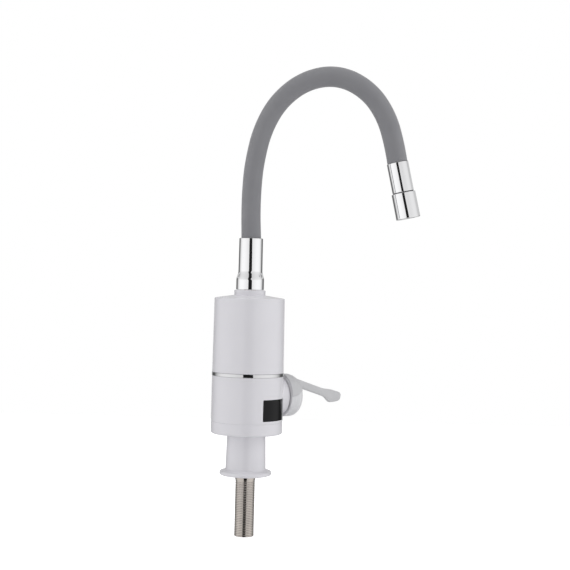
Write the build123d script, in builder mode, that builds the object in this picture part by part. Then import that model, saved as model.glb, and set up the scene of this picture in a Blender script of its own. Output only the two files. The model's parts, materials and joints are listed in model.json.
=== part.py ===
from build123d import *
import math
import os

# Electric instant water heater tap: a heater body on a round foot, a ceramic disc valve worked by a
# side lever, and a spout on a bendable neck. Millimetres, Z up. The origin is the middle of the
# foot's underside, on the deck, and the spout reaches along +X at rest.

# Fits between pieces
fixed_gap = 0.1
running_gap = 0.06
wall = 2.5

# Inlet shank and foot
shank_radius = 20.955 / 2
shank_bore_radius = 7.5
shank_below_deck = 65
shank_chamfer = 1
shoulder_radius = 10.9
shoulder_below_deck = 4.5
flange_radius = 27.6
flange_edge_round = 1.8
flange_edge_height = 4.6
flange_slope_inset = 2.2
flange_slope_height = 7.2
flange_top_height = 9.2
neck_root_radius = 21.3
neck_top_radius = 20.5
foot_height = 46
foot_floor = 5
shank_nut_flats = 30
shank_nut_height = 6

# Heater body, from the bottom cover up to the top collar
body_radius = 38.5
cover_height = 12.3
cover_round = 5
lap_height = 2.5
lower_housing_height = 48.7
trim_radius = 38.75
trim_width = 3.75
trim_height = 3.9
upper_foot_radius = 38.45
upper_rim_radius = 37.75
upper_rim_height = 77.7
roof_edge_radius = 36.6
roof_edge_rise = 2
roof_rise = 2.9
roof_underside = 5.5
collar_radius = 16.8
collar_height = 5.4
collar_chamfer = 0.6

# Handle and its valve, on an axis square to the body's
handle_angle = 32.6
handle_above_foot = 38.3
boss_radius = 20
boss_face = 41.9
hub_gap = 0.8
hub_radius = 22.7
hub_length = 18.6
hub_round = 9
saddle_thickness = 1.3
saddle_front = 1.6
saddle_length = 10.5
saddle_half_angle = 90
bar_height = 9
bar_thickness = 5
bar_start_height = 14
root_width = 9
root_length = 10
pad_start = 96.5
pad_start_height = 2.5
pad_flare = 11.5
pad_bottom_height = -9.3
pad_end = 122
pad_end_top = 1.3
pad_end_bottom = -8.1
pad_end_lean = 1.2
pad_corner = 1.8
pad_thickness = 3.2
spindle_radius = 4
spindle_end = 56
screw_web = 1.5

# Display
window_angle = -32.6
window_half_angle = 29.2
window_bottom_above_seam = 3.4
window_height = 22.3
lens_recess = 0.2

# Valve body and cartridge, measured outward from the body's axis
valve_barrel_radius = 13
valve_barrel_back = -6
valve_barrel_face = 28
cartridge_radius = 9
cartridge_seat = 6
seat_seal_thickness = 1
disc_radius = 7.5
disc_thickness = 3
disc_port_offset = 4
disc_port_width = 6
disc_port_height = 4
disc_channel_length = 12.5
valve_wall = 3.5
carrier_thickness = 4.5
cartridge_flats = 24
cartridge_head = 4
chamber_radius = 8
chamber_height = 16.5
piston_length = 8
piston_flute = 3
piston_flutes = 4
spring_wire = 1
reed_width = 5
reed_depth = 4
feed_pipe_radius = 6
feed_pipe_bore_radius = 4.5

# Tank
tank_radius = 31
tank_wall = 2
tank_base_thickness = 5
tank_base_above_trim = 2.6
tank_neck_radius = 10
tank_ceiling = 10
stem_bore_radius = 6.6
element_radius = 3.2
element_spacing = 24
element_height = 48
element_tail = 8
sensor_radius = 2.5
sensor_offset = 17
sensor_height = 22
cutout_radius = 7.5
cutout_height = 6

# Boards
board_thickness = 1.6
board_distance = 25.2
board_height = 42
component_gap = 6
relay_width = 15
relay_height = 14
relay_depth = 9
relay_middle = 32
sink_width = 16
sink_height = 20
sink_base = 2
sink_depth = 9
sink_middle = 30
fin_count = 5
fin_pitch = 3.6
fin_thickness = 1.2
triac_width = 10
triac_height = 14
triac_depth = 4.5
triac_middle = 12
terminal_width = 16
terminal_height = 12
terminal_depth = 8
terminal_middle = 9
terminal_count = 3
terminal_pitch = 5.08
terminal_hole_width = 3.6
terminal_hole_height = 5
terminal_hole_depth = 4
display_board_height = 25
module_gap = 0.7
module_depth = 4.6
module_width = 24
module_height = 14

# Handle screw, its cap, and the cord's grommet
screw_radius = 1.75
screw_head_radius = 3.1
screw_head_height = 2
screw_length = 10
cap_radius = 5
cap_thickness = 2
cord_angle = 90
grommet_above_seam = 9
grommet_width = 12
grommet_height = 9
cord_hole_radius = 3.2

# Spout base
ferrule_foot_radius = 15.05
ferrule_radius = 12.8
ferrule_foot_height = 7.4
ferrule_flare_height = 10
ferrule_height = 55
ferrule_chamfer = 0.8
ferrule_gap = 0.3
stem_radius = stem_bore_radius - running_gap
stem_bore = 2.4
stem_flange_height = 7.5
barb_length = 18
stem_nut_flats = 19
stem_nut_height = 3
seal_height = 3
seal_groove = 1.4

# Bendable neck: sections of one length, each an arc that turns by its own angle
section_length = 34.4
section_turns = (0, 3, 12, 14, 22, 28, 35, 30, 18, 5)
span_turn = 7
sleeve_radius = 10.6
sleeve_bore_radius = 8
sleeve_in_ferrule = 17
core_radius = 7.6
core_bore_radius = 5.4
core_sides = 12
hose_radius = 4.6
hose_bore_radius = 3.5
hose_sides = 8
joint_relief = 0.8

# Outlet
outlet_ferrule_radius = 10.9
outlet_ferrule_length = 32
outlet_chamfer = 0.7
spigot_radius = 9.4
spigot_length = 8
core_in_outlet = 16
aerator_gap = 0.6
aerator_top_radius = 12.3
aerator_radius = 12.65
aerator_length = 26.5
aerator_lip_radius = 8.4
aerator_lip_height = 3
gasket_thickness = 1.5
gasket_bore_radius = 6.6
insert_hole_radius = 1.4
insert_hole_circle = 5
insert_holes = 6

# Heights of the seams, worked out from the sizes above
cover_bottom = foot_height
seam = cover_bottom + cover_height
lower_top = seam + lower_housing_height
trim_top = lower_top + trim_height
rim = trim_top + upper_rim_height
roof_edge = rim + roof_edge_rise
roof_top = roof_edge + roof_rise
collar_top = roof_top + collar_height
roof_inside = roof_top - roof_underside
cover_floor = cover_bottom + wall
handle_height = foot_height + handle_above_foot
housing_bore = body_radius - wall
window_bottom = seam + window_bottom_above_seam
valve_bottom = cover_floor + shank_nut_height
chamber_bottom = valve_bottom + shank_nut_height
chamber_top = chamber_bottom + chamber_height
valve_outlet_top = handle_height + valve_barrel_radius + feed_pipe_radius
tank_base_bottom = trim_top + tank_base_above_trim
tank_base_top = tank_base_bottom + tank_base_thickness
tank_base_radius = tank_radius - tank_wall - fixed_gap
tank_ceiling_height = roof_inside - tank_ceiling
ferrule_bottom = collar_top + ferrule_gap
neck_start = ferrule_bottom + ferrule_height
barb_radius = hose_bore_radius * math.cos(math.pi / hose_sides) - fixed_gap


def outward_plane(angle, height, distance=0):
    """A plane square to the body's axis at one angle, with its Z pointing outward and its Y up."""
    out = Vector(1, 0, 0).rotate(Axis.Z, angle)
    across = Vector(0, 0, 1).cross(out)
    return Plane(origin=out * distance + Vector(0, 0, height), x_dir=across, z_dir=out)


def side_of(plane):
    """The plane that holds the given plane's Z as its own X, and its Y as its own Y."""
    return Plane(origin=plane.origin, x_dir=plane.z_dir, z_dir=plane.z_dir.cross(plane.y_dir))


def turned(plane, angle):
    """The plane turned about its own Z."""
    axis = Axis(plane.origin, plane.z_dir)
    return Plane(origin=plane.origin, x_dir=plane.x_dir.rotate(axis, angle), z_dir=plane.z_dir)


def radial_plane(angle):
    """The upright half plane through the body's axis at one angle, for profiles of radius and height."""
    out = Vector(1, 0, 0).rotate(Axis.Z, angle)
    return Plane(origin=(0, 0, 0), x_dir=out, z_dir=out.cross(Vector(0, 0, 1)))


def bend(plane, turn, length):
    """The corner between the end tangents of an arc that leaves the plane squarely, and its end plane."""
    half = math.radians(turn / 2)
    leg = length / 2 * (math.tan(half) / half if turn else 1)
    corner = plane.origin + plane.z_dir * leg
    along = plane.z_dir.rotate(Axis.Y, turn)
    return corner, Plane(origin=corner + along * leg, x_dir=plane.x_dir, z_dir=along)


def neck_tube(first, last, before, after, radius, bore, sides, round_outside=False):
    """A tube from one joint of the neck to another, with straight ends before and after them."""
    start = neck_joints[first].offset(-before)
    end = neck_joints[last].offset(after)
    corners = [corner for section in neck_corners[first:last] for corner in section]
    with BuildPart() as tube:
        with BuildLine() as path:
            Polyline(start.origin, *corners, end.origin)
        with BuildSketch(start):
            if round_outside:
                Circle(radius)
            else:
                RegularPolygon(radius, sides)
            RegularPolygon(bore, sides, mode=Mode.SUBTRACT)
        sweep(path=path.wire(), transition=Transition.RIGHT)
    return tube.part


# Joints of the neck, from the ferrule's mouth to the outlet, and the corners of the runs between them
neck_joints = [Plane(origin=(0, 0, neck_start), x_dir=(0, 1, 0), z_dir=(0, 0, 1))]
neck_corners = []
for turn in section_turns:
    spans = max(1, round(turn / span_turn))
    run_plane = neck_joints[-1]
    run_corners = []
    for span in range(spans):
        corner, run_plane = bend(run_plane, turn / spans, section_length / spans)
        run_corners.append(corner)
    neck_joints.append(run_plane)
    neck_corners.append(run_corners if turn else [])

handle_plane = outward_plane(handle_angle, handle_height)
handle_side = side_of(handle_plane)
handle_axis = Axis(handle_plane.origin, handle_plane.z_dir)
handle_plan = Plane(origin=handle_plane.origin, x_dir=handle_plane.z_dir, z_dir=handle_plane.y_dir)


# Inlet shank, with a plain shoulder under the flange
with BuildPart() as inlet_shank:
    with BuildSketch(Plane.XZ):
        with BuildLine():
            Polyline(
                (shank_bore_radius, -shank_below_deck),
                (shank_radius - shank_chamfer, -shank_below_deck),
                (shank_radius, shank_chamfer - shank_below_deck),
                (shank_radius, -shoulder_below_deck),
                (shoulder_radius, -shoulder_below_deck),
                (shoulder_radius, foot_floor),
                (shank_radius, foot_floor),
                (shank_radius, chamber_bottom),
                (shank_bore_radius, chamber_bottom),
                close=True,
            )
        make_face()
    revolve(axis=Axis.Z)

# Foot: a round flange and a slightly tapered hollow neck
with BuildPart() as pedestal:
    with BuildSketch(Plane.XZ):
        with BuildLine():
            neck_side = Bezier((neck_root_radius, flange_top_height), (neck_top_radius, foot_height))
            Polyline(
                neck_side @ 1,
                (neck_top_radius - wall, foot_height),
                (neck_top_radius - wall, foot_floor),
                (shoulder_radius + fixed_gap, foot_floor),
                (shoulder_radius + fixed_gap, 0),
                (flange_radius - flange_edge_round, 0),
                (flange_radius, flange_edge_round),
                (flange_radius, flange_edge_height),
                (flange_radius - flange_slope_inset, flange_slope_height),
                neck_side @ 0,
            )
        make_face()
    revolve(axis=Axis.Z)

# Nut that clamps the bottom cover to the foot
with BuildPart() as shank_nut:
    with BuildSketch(Plane.XY.offset(cover_floor)):
        RegularPolygon(shank_nut_flats / 2, 6, major_radius=False)
        Circle(shank_radius + fixed_gap, mode=Mode.SUBTRACT)
    extrude(amount=shank_nut_height)

# Bottom cover: a shallow cup with a rounded foot edge and a lap that enters the lower housing
cover_knee = cover_round * (1 - math.sqrt(0.5))
lap_radius = housing_bore - fixed_gap
with BuildPart() as bottom_cover:
    with BuildSketch(Plane.XZ):
        with BuildLine():
            Polyline(
                (shank_radius + fixed_gap, cover_bottom),
                (body_radius - cover_round, cover_bottom),
                (body_radius - cover_knee, cover_bottom + cover_knee),
                (body_radius, cover_bottom + cover_round),
                (body_radius, seam),
                (lap_radius, seam),
                (lap_radius, seam + lap_height),
                (lap_radius - wall / 2, seam + lap_height),
                (lap_radius - wall / 2, cover_floor),
                (shank_radius + fixed_gap, cover_floor),
                close=True,
            )
        make_face()
    revolve(axis=Axis.Z)

# Lower housing: a tube with the display window, the handle boss and the hole for the cord
with BuildPart() as lower_housing:
    with BuildSketch(Plane.XY.offset(seam)):
        Circle(body_radius)
    extrude(amount=lower_housing_height)
    with BuildSketch(handle_plane.offset(body_radius / 2)):
        Circle(boss_radius)
    extrude(amount=boss_face - body_radius / 2)
    with BuildSketch(Plane.XY.offset(seam)):
        Circle(housing_bore)
    extrude(amount=lower_housing_height, mode=Mode.SUBTRACT)
    with BuildSketch(handle_plane.offset(body_radius / 2)):
        Circle(boss_radius - wall)
    extrude(amount=boss_face, mode=Mode.SUBTRACT)
    with BuildSketch(radial_plane(window_angle - window_half_angle)):
        with Locations((body_radius, window_bottom + window_height / 2)):
            Rectangle(3 * wall, window_height)
    revolve(axis=Axis.Z, revolution_arc=2 * window_half_angle, mode=Mode.SUBTRACT)
    with BuildSketch(outward_plane(cord_angle, seam + grommet_above_seam, body_radius - 2 * wall)):
        Rectangle(grommet_width - wall, grommet_height - wall)
    extrude(amount=3 * wall, mode=Mode.SUBTRACT)

# Dark lens that fills the display window
lens_clearance = math.degrees(fixed_gap / body_radius)
with BuildPart() as display_lens:
    with BuildSketch(radial_plane(window_angle - window_half_angle + lens_clearance)):
        with Locations((body_radius - wall / 2 - lens_recess / 2, window_bottom + window_height / 2)):
            Rectangle(wall - lens_recess, window_height - 2 * fixed_gap)
    revolve(axis=Axis.Z, revolution_arc=2 * (window_half_angle - lens_clearance))

# Chrome ring between the two housings
with BuildPart() as trim_ring:
    with BuildSketch(Plane.XY.offset(lower_top)):
        Circle(trim_radius)
        Circle(trim_radius - trim_width, mode=Mode.SUBTRACT)
    extrude(amount=trim_height)

# Upper housing: a slightly tapered shell with a low conical roof
with BuildPart() as upper_housing:
    with BuildSketch(Plane.XZ):
        with BuildLine():
            side = Bezier((upper_foot_radius, trim_top), (upper_rim_radius, rim))
            Polyline(
                side @ 1,
                (roof_edge_radius, roof_edge),
                (collar_radius, roof_top),
                (tank_neck_radius + fixed_gap, roof_top),
                (tank_neck_radius + fixed_gap, roof_inside),
                (upper_rim_radius - wall, roof_inside),
                (upper_rim_radius - wall, trim_top),
                side @ 0,
            )
        make_face()
    revolve(axis=Axis.Z)

# Ring nut that clamps the tank's neck, and with it the housings, from the top
with BuildPart() as top_collar:
    with BuildSketch(Plane.XZ):
        with BuildLine():
            Polyline(
                (tank_neck_radius + fixed_gap, roof_top),
                (collar_radius, roof_top),
                (collar_radius, collar_top - collar_chamfer),
                (collar_radius - collar_chamfer, collar_top),
                (tank_neck_radius + fixed_gap, collar_top),
                close=True,
            )
        make_face()
    revolve(axis=Axis.Z)

# Valve body: shank socket, flow chamber, cartridge barrel and outlet in one casting
with BuildPart() as valve_body:
    with BuildSketch(Plane.XY.offset(valve_bottom)):
        Circle(shank_radius + valve_wall)
    extrude(amount=shank_nut_height + wall)
    with BuildSketch(Plane.XY.offset(valve_bottom)):
        Circle(chamber_radius + wall)
    extrude(amount=handle_height - valve_bottom)
    with BuildSketch(handle_plane.offset(valve_barrel_back)):
        Circle(valve_barrel_radius)
    extrude(amount=valve_barrel_face - valve_barrel_back)
    with BuildSketch(Plane.XY.offset(handle_height)):
        Circle(feed_pipe_radius + wall)
    extrude(amount=valve_outlet_top - handle_height)
    with BuildSketch(Plane.XY.offset(valve_bottom)):
        Circle(shank_radius + fixed_gap)
    extrude(amount=shank_nut_height, mode=Mode.SUBTRACT)
    with BuildSketch(Plane.XY.offset(chamber_bottom)):
        Circle(chamber_radius)
    extrude(amount=chamber_height, mode=Mode.SUBTRACT)
    with BuildSketch(Plane.XY.offset(chamber_top)):
        Circle(disc_port_height / 2)
    extrude(amount=handle_height - disc_port_offset - chamber_top, mode=Mode.SUBTRACT)
    with BuildSketch(Plane.XY.offset(handle_height + disc_port_offset)):
        Circle(feed_pipe_bore_radius)
    extrude(amount=valve_outlet_top - handle_height, mode=Mode.SUBTRACT)
    with BuildSketch(Plane.XY.offset(valve_outlet_top - feed_pipe_radius)):
        Circle(feed_pipe_radius + fixed_gap)
    extrude(amount=feed_pipe_radius, mode=Mode.SUBTRACT)
    with BuildSketch(handle_plane.offset(cartridge_seat)):
        Circle(cartridge_radius + fixed_gap)
    extrude(amount=valve_barrel_face - cartridge_seat, mode=Mode.SUBTRACT)
    with BuildSketch(handle_plane):
        with Locations((0, -disc_port_offset), (0, disc_port_offset)):
            Rectangle(disc_port_width, disc_port_height)
    extrude(amount=cartridge_seat, mode=Mode.SUBTRACT)

# Pipe from the valve up into the tank
feed_pipe_bottom = valve_outlet_top - feed_pipe_radius
with BuildPart() as feed_pipe:
    with BuildSketch(Plane.XY.offset(feed_pipe_bottom)):
        Circle(feed_pipe_radius)
        Circle(feed_pipe_bore_radius, mode=Mode.SUBTRACT)
    extrude(amount=tank_base_top - feed_pipe_bottom)

# Piston that rises with the flow and carries the magnet, with flutes for the water
with BuildPart() as flow_piston:
    with BuildSketch(Plane.XY.offset(chamber_bottom)):
        Circle(chamber_radius - running_gap)
        with PolarLocations(chamber_radius, piston_flutes):
            Rectangle(2 * piston_flute, piston_flute, mode=Mode.SUBTRACT)
    extrude(amount=piston_length)

# Spring that returns the piston
with BuildPart() as flow_spring:
    with BuildSketch(Plane.XY.offset(chamber_bottom + piston_length)):
        RegularPolygon(chamber_radius - piston_flute, core_sides)
        RegularPolygon(chamber_radius - piston_flute - spring_wire, core_sides, mode=Mode.SUBTRACT)
    extrude(amount=chamber_height - piston_length)

# Reed switch that feels the magnet through the chamber's wall
reed_plane = outward_plane(handle_angle + 180, chamber_bottom + wall, chamber_radius + wall)
with BuildPart() as reed_switch:
    with BuildSketch(reed_plane):
        with Locations((0, piston_length / 2)):
            Rectangle(reed_width, piston_length)
    extrude(amount=reed_depth)

# Cartridge: seat seal, two ceramic discs, spindle and brass body
with BuildPart() as seat_seal:
    with BuildSketch(handle_plane.offset(cartridge_seat)):
        Circle(cartridge_radius)
        with Locations((0, -disc_port_offset), (0, disc_port_offset)):
            Rectangle(disc_port_width, disc_port_height, mode=Mode.SUBTRACT)
    extrude(amount=seat_seal_thickness)

fixed_disc_start = cartridge_seat + seat_seal_thickness
with BuildPart() as fixed_disc:
    with BuildSketch(handle_plane.offset(fixed_disc_start)):
        Circle(disc_radius)
        with Locations((0, -disc_port_offset), (0, disc_port_offset)):
            Rectangle(disc_port_width, disc_port_height, mode=Mode.SUBTRACT)
    extrude(amount=disc_thickness)

moving_disc_start = fixed_disc_start + disc_thickness
with BuildPart() as moving_disc:
    with BuildSketch(handle_plane.offset(moving_disc_start)):
        Circle(disc_radius)
    extrude(amount=disc_thickness)
    with BuildSketch(handle_plane.offset(moving_disc_start)):
        Rectangle(disc_channel_length, disc_port_height)
    extrude(amount=disc_thickness / 2, mode=Mode.SUBTRACT)

carrier_start = moving_disc_start + disc_thickness
carrier_end = carrier_start + carrier_thickness
with BuildPart() as cartridge_spindle:
    with BuildSketch(handle_plane.offset(carrier_start)):
        Circle(disc_radius)
    extrude(amount=carrier_thickness)
    with BuildSketch(handle_plane.offset(carrier_end)):
        Circle(spindle_radius)
    extrude(amount=spindle_end - screw_web - carrier_end)
    with BuildSketch(handle_plane.offset(spindle_end)):
        Circle(screw_radius + fixed_gap)
    extrude(amount=-screw_length, mode=Mode.SUBTRACT)

cartridge_head_end = valve_barrel_face + cartridge_head
with BuildPart() as cartridge_body:
    with BuildSketch(handle_plane.offset(fixed_disc_start)):
        Circle(cartridge_radius)
    extrude(amount=valve_barrel_face - fixed_disc_start)
    with BuildSketch(handle_plane.offset(valve_barrel_face)):
        RegularPolygon(cartridge_flats / 2, 6, major_radius=False)
    extrude(amount=cartridge_head)
    with BuildSketch(handle_plane.offset(fixed_disc_start)):
        Circle(disc_radius + running_gap)
    extrude(amount=carrier_end + fixed_gap - fixed_disc_start, mode=Mode.SUBTRACT)
    with BuildSketch(handle_plane.offset(carrier_end)):
        Circle(spindle_radius + running_gap)
    extrude(amount=cartridge_head_end - carrier_end, mode=Mode.SUBTRACT)

# Handle: hub on the spindle, held by a screw under a cap
hub_start = boss_face + hub_gap
hub_end = hub_start + hub_length
hub_knee = hub_round * (1 - math.sqrt(0.5))
with BuildPart() as handle_hub:
    with BuildSketch(handle_side):
        with BuildLine():
            Polyline(
                (hub_start, spindle_radius + fixed_gap),
                (hub_start, hub_radius),
                (hub_end - hub_round, hub_radius),
                (hub_end - hub_knee, hub_radius - hub_knee),
                (hub_end, hub_radius - hub_round),
                (hub_end, cap_radius + fixed_gap),
                (spindle_end, cap_radius + fixed_gap),
                (spindle_end, screw_radius + fixed_gap),
                (spindle_end - screw_web, screw_radius + fixed_gap),
                (spindle_end - screw_web, spindle_radius + fixed_gap),
                close=True,
            )
        make_face()
    revolve(axis=handle_axis)

with BuildPart() as handle_screw:
    with BuildSketch(handle_plane.offset(spindle_end)):
        Circle(screw_radius)
    extrude(amount=-screw_length)
    with BuildSketch(handle_plane.offset(spindle_end)):
        Circle(screw_head_radius)
        RegularPolygon(screw_radius, 6, mode=Mode.SUBTRACT)
    extrude(amount=screw_head_height)

with BuildPart() as screw_cap:
    with BuildSketch(handle_plane.offset(hub_end)):
        Circle(cap_radius)
    extrude(amount=-cap_thickness)

# Lever: an upright blade with a paddle at its end, on a saddle over the hub's upper half
knee_place = hub_end - hub_knee
bar_root = (knee_place + hub_end) / 2
bar_root_bottom = hub_radius - (hub_knee + hub_round) / 2 + running_gap + fixed_gap
bar_slope = (bar_start_height - pad_start_height) / (pad_start - hub_end)
bar_root_top = bar_start_height + bar_height / 2 + bar_slope * (hub_end - bar_root)
bar_underside = bar_start_height - bar_height / 2
with BuildPart() as lever_bar:
    with BuildSketch(handle_side) as lever_outline:
        with BuildLine():
            bar_top = Line((bar_root, bar_root_top), (pad_start, pad_start_height + bar_height / 2))
            pad_top = TangentArc(bar_top @ 1, (pad_end, pad_end_top), tangent=(1, -bar_slope / 3))
            pad_tip = Line(pad_top @ 1, (pad_end - pad_end_lean, pad_end_bottom))
            pad_bottom = Line(pad_tip @ 1, (pad_start + pad_flare, pad_bottom_height))
            bar_bottom = Line((hub_end + fixed_gap, bar_underside), (pad_start, pad_start_height - bar_height / 2))
            Spline(bar_bottom @ 1, pad_bottom @ 1, tangents=(bar_bottom % 1, -(pad_bottom % 1)))
            Polyline(
                bar_top @ 0,
                (bar_root, bar_root_bottom),
                (hub_end + fixed_gap, hub_radius - hub_round + fixed_gap),
                bar_bottom @ 0,
            )
        make_face()
        fillet(lever_outline.vertices().sort_by(Axis.X)[-2:], radius=pad_corner)
    extrude(amount=root_width / 2, both=True)
    with BuildSketch(handle_plan):
        with BuildLine():
            Polyline(
                (bar_root, 0),
                (pad_end, 0),
                (pad_end, pad_thickness / 2),
                (pad_start + pad_flare, pad_thickness / 2),
                (pad_start, bar_thickness / 2),
            )
            bar_flank = Line((pad_start, bar_thickness / 2), (hub_end + root_length, bar_thickness / 2))
            root = TangentArc(bar_flank @ 1, (bar_root, root_width / 2), tangent=bar_flank % 1)
            Line(root @ 1, (bar_root, 0))
        make_face()
        mirror(about=Plane.XZ)
    extrude(amount=2 * hub_radius, both=True, mode=Mode.INTERSECT)

saddle_bore = hub_radius + fixed_gap
saddle_radius = hub_radius + saddle_thickness
saddle_shoulder = hub_start + saddle_length
saddle_nose = hub_end + saddle_front
with BuildPart() as handle_lever:
    with BuildSketch(side_of(turned(handle_plane, -saddle_half_angle))):
        with BuildLine():
            Polyline(
                (hub_start, saddle_bore),
                (hub_start, saddle_radius),
                (saddle_shoulder, saddle_radius),
                (knee_place, hub_radius - hub_knee + saddle_front),
                (saddle_nose, hub_radius - hub_round),
                (saddle_nose, bar_underside),
                (hub_end + fixed_gap, bar_underside),
                (hub_end + fixed_gap, hub_radius - hub_round),
                (knee_place + fixed_gap, saddle_bore - hub_knee),
                (hub_end - hub_round, saddle_bore),
                close=True,
            )
        make_face()
    revolve(axis=handle_axis, revolution_arc=2 * saddle_half_angle)
    with BuildSketch(handle_side):
        with BuildLine():
            Polyline((saddle_shoulder, 0), (saddle_nose, 0), (saddle_nose, bar_underside), close=True)
        make_face()
    extrude(amount=saddle_radius, both=True, mode=Mode.SUBTRACT)
    add(lever_bar.part)

# Tank, with its neck through the roof, and the base brazed into its lower end
with BuildPart() as heater_tank:
    with BuildSketch(Plane.XZ):
        with BuildLine():
            Polyline(
                (tank_radius - tank_wall, tank_base_bottom),
                (tank_radius, tank_base_bottom),
                (tank_radius, roof_inside),
                (tank_neck_radius, roof_inside),
                (tank_neck_radius, collar_top),
                (stem_bore_radius, collar_top),
                (stem_bore_radius, tank_ceiling_height),
                (tank_radius - tank_wall, tank_ceiling_height),
                close=True,
            )
        make_face()
    revolve(axis=Axis.Z)

with BuildPart() as tank_base:
    with BuildSketch(Plane.XY.offset(tank_base_bottom)):
        Circle(tank_base_radius)
        Circle(feed_pipe_radius + fixed_gap, mode=Mode.SUBTRACT)
        with Locations((-element_spacing / 2, 0), (element_spacing / 2, 0)):
            Circle(element_radius + fixed_gap, mode=Mode.SUBTRACT)
        with Locations((0, sensor_offset)):
            Circle(sensor_radius + fixed_gap, mode=Mode.SUBTRACT)
    extrude(amount=tank_base_thickness)

# Heating element: a hairpin with a mitred top, whose tails come out under the base
element_bottom = tank_base_bottom - element_tail
element_top = tank_base_top + element_height
element_cut = element_spacing / 4
with BuildPart() as heating_element:
    with BuildLine(Plane.XZ) as element_path:
        Polyline(
            (-element_spacing / 2, element_bottom),
            (-element_spacing / 2, element_top - element_cut),
            (-element_spacing / 2 + element_cut, element_top),
            (element_spacing / 2 - element_cut, element_top),
            (element_spacing / 2, element_top - element_cut),
            (element_spacing / 2, element_bottom),
        )
    with BuildSketch(Plane.XY.offset(element_bottom)):
        with Locations((-element_spacing / 2, 0)):
            Circle(element_radius)
    sweep(path=element_path.wires()[0], transition=Transition.RIGHT)

with BuildPart() as temperature_sensor:
    with BuildSketch(Plane.XY.offset(tank_base_bottom - element_tail / 2)):
        with Locations((0, sensor_offset)):
            Circle(sensor_radius)
    extrude(amount=element_tail / 2 + sensor_height)

with BuildPart() as thermal_cutout:
    with BuildSketch(Plane.XY.offset(tank_base_bottom - cutout_height)):
        with Locations((0, -sensor_offset)):
            Circle(cutout_radius)
    extrude(amount=cutout_height)

# Swivel stem, which turns in the tank's neck and carries the spout
stem_bottom = tank_ceiling_height - running_gap - stem_nut_height
stem_flange_top = ferrule_bottom + stem_flange_height
groove_bottom = roof_inside
with BuildPart() as swivel_stem:
    with BuildSketch(Plane.XZ):
        with BuildLine():
            Polyline(
                (stem_bore, stem_bottom),
                (stem_radius, stem_bottom),
                (stem_radius, groove_bottom),
                (stem_radius - seal_groove, groove_bottom),
                (stem_radius - seal_groove, groove_bottom + seal_height),
                (stem_radius, groove_bottom + seal_height),
                (stem_radius, ferrule_bottom),
                (sleeve_radius - fixed_gap, ferrule_bottom),
                (sleeve_radius - fixed_gap, stem_flange_top),
                (barb_radius, stem_flange_top),
                (barb_radius, stem_flange_top + barb_length),
                (stem_bore, stem_flange_top + barb_length),
                close=True,
            )
        make_face()
    revolve(axis=Axis.Z)

with BuildPart() as stem_seal:
    with BuildSketch(Plane.XY.offset(groove_bottom + fixed_gap)):
        Circle(stem_bore_radius - running_gap / 2)
        Circle(stem_radius - seal_groove + fixed_gap, mode=Mode.SUBTRACT)
    extrude(amount=seal_height - 2 * fixed_gap)

# Thin nut that keeps the stem from pulling out of the neck
with BuildPart() as stem_nut:
    with BuildSketch(Plane.XY.offset(tank_ceiling_height - running_gap)):
        RegularPolygon(stem_nut_flats / 2, 6, major_radius=False)
        Circle(stem_radius + fixed_gap, mode=Mode.SUBTRACT)
    extrude(amount=-stem_nut_height)

# Chrome ferrule at the foot of the spout
flare_bottom = ferrule_bottom + ferrule_foot_height
with BuildPart() as base_ferrule:
    with BuildSketch(Plane.XZ):
        with BuildLine():
            Polyline(
                (sleeve_radius + fixed_gap, ferrule_bottom),
                (ferrule_foot_radius, ferrule_bottom),
                (ferrule_foot_radius, flare_bottom),
                (ferrule_radius, flare_bottom + ferrule_flare_height),
                (ferrule_radius, neck_start - ferrule_chamfer),
                (ferrule_radius - ferrule_chamfer, neck_start),
                (sleeve_radius + fixed_gap, neck_start),
                close=True,
            )
        make_face()
    revolve(axis=Axis.Z)

# Silicone sleeve and the water hose inside it
section_count = len(section_turns)
core_in_ferrule = neck_start - stem_flange_top
silicone_sleeve = neck_tube(
    0,
    section_count,
    sleeve_in_ferrule,
    0,
    sleeve_radius,
    sleeve_bore_radius,
    core_sides,
    round_outside=True,
)
inner_hose = neck_tube(
    0,
    section_count,
    core_in_ferrule - fixed_gap,
    core_in_outlet,
    hose_radius,
    hose_bore_radius,
    hose_sides,
)

# Gooseneck core in sections that turn on each other where their ends meet
core_sections = []
for number in range(section_count):
    before = core_in_ferrule if number == 0 else -joint_relief
    after = core_in_outlet if number == section_count - 1 else -joint_relief
    core_sections.append(neck_tube(number, number + 1, before, after, core_radius, core_bore_radius, core_sides))

# Outlet: ferrule with a threaded spigot, aerator housing, gasket and insert
outlet_plane = neck_joints[-1]
outlet_side = side_of(outlet_plane)
outlet_axis = Axis(outlet_plane.origin, outlet_plane.z_dir)
spigot_end = outlet_ferrule_length + spigot_length
with BuildPart() as outlet_ferrule:
    with BuildSketch(outlet_side):
        with BuildLine():
            Polyline(
                (0, core_radius + fixed_gap),
                (0, outlet_ferrule_radius - outlet_chamfer),
                (outlet_chamfer, outlet_ferrule_radius),
                (outlet_ferrule_length, outlet_ferrule_radius),
                (outlet_ferrule_length, spigot_radius),
                (spigot_end, spigot_radius),
                (spigot_end, core_radius + fixed_gap),
                close=True,
            )
        make_face()
    revolve(axis=outlet_axis)

aerator_start = outlet_ferrule_length + aerator_gap
aerator_end = aerator_start + aerator_length
lip_start = aerator_end - aerator_lip_height
with BuildPart() as aerator_housing:
    with BuildSketch(outlet_side):
        with BuildLine():
            side = Bezier((aerator_start, aerator_top_radius), (aerator_end - outlet_chamfer, aerator_radius))
            Polyline(
                side @ 1,
                (aerator_end, aerator_radius - outlet_chamfer),
                (aerator_end, aerator_lip_radius),
                (lip_start, aerator_lip_radius),
                (lip_start, spigot_radius + fixed_gap),
                (aerator_start, spigot_radius + fixed_gap),
                side @ 0,
            )
        make_face()
    revolve(axis=outlet_axis)

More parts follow.
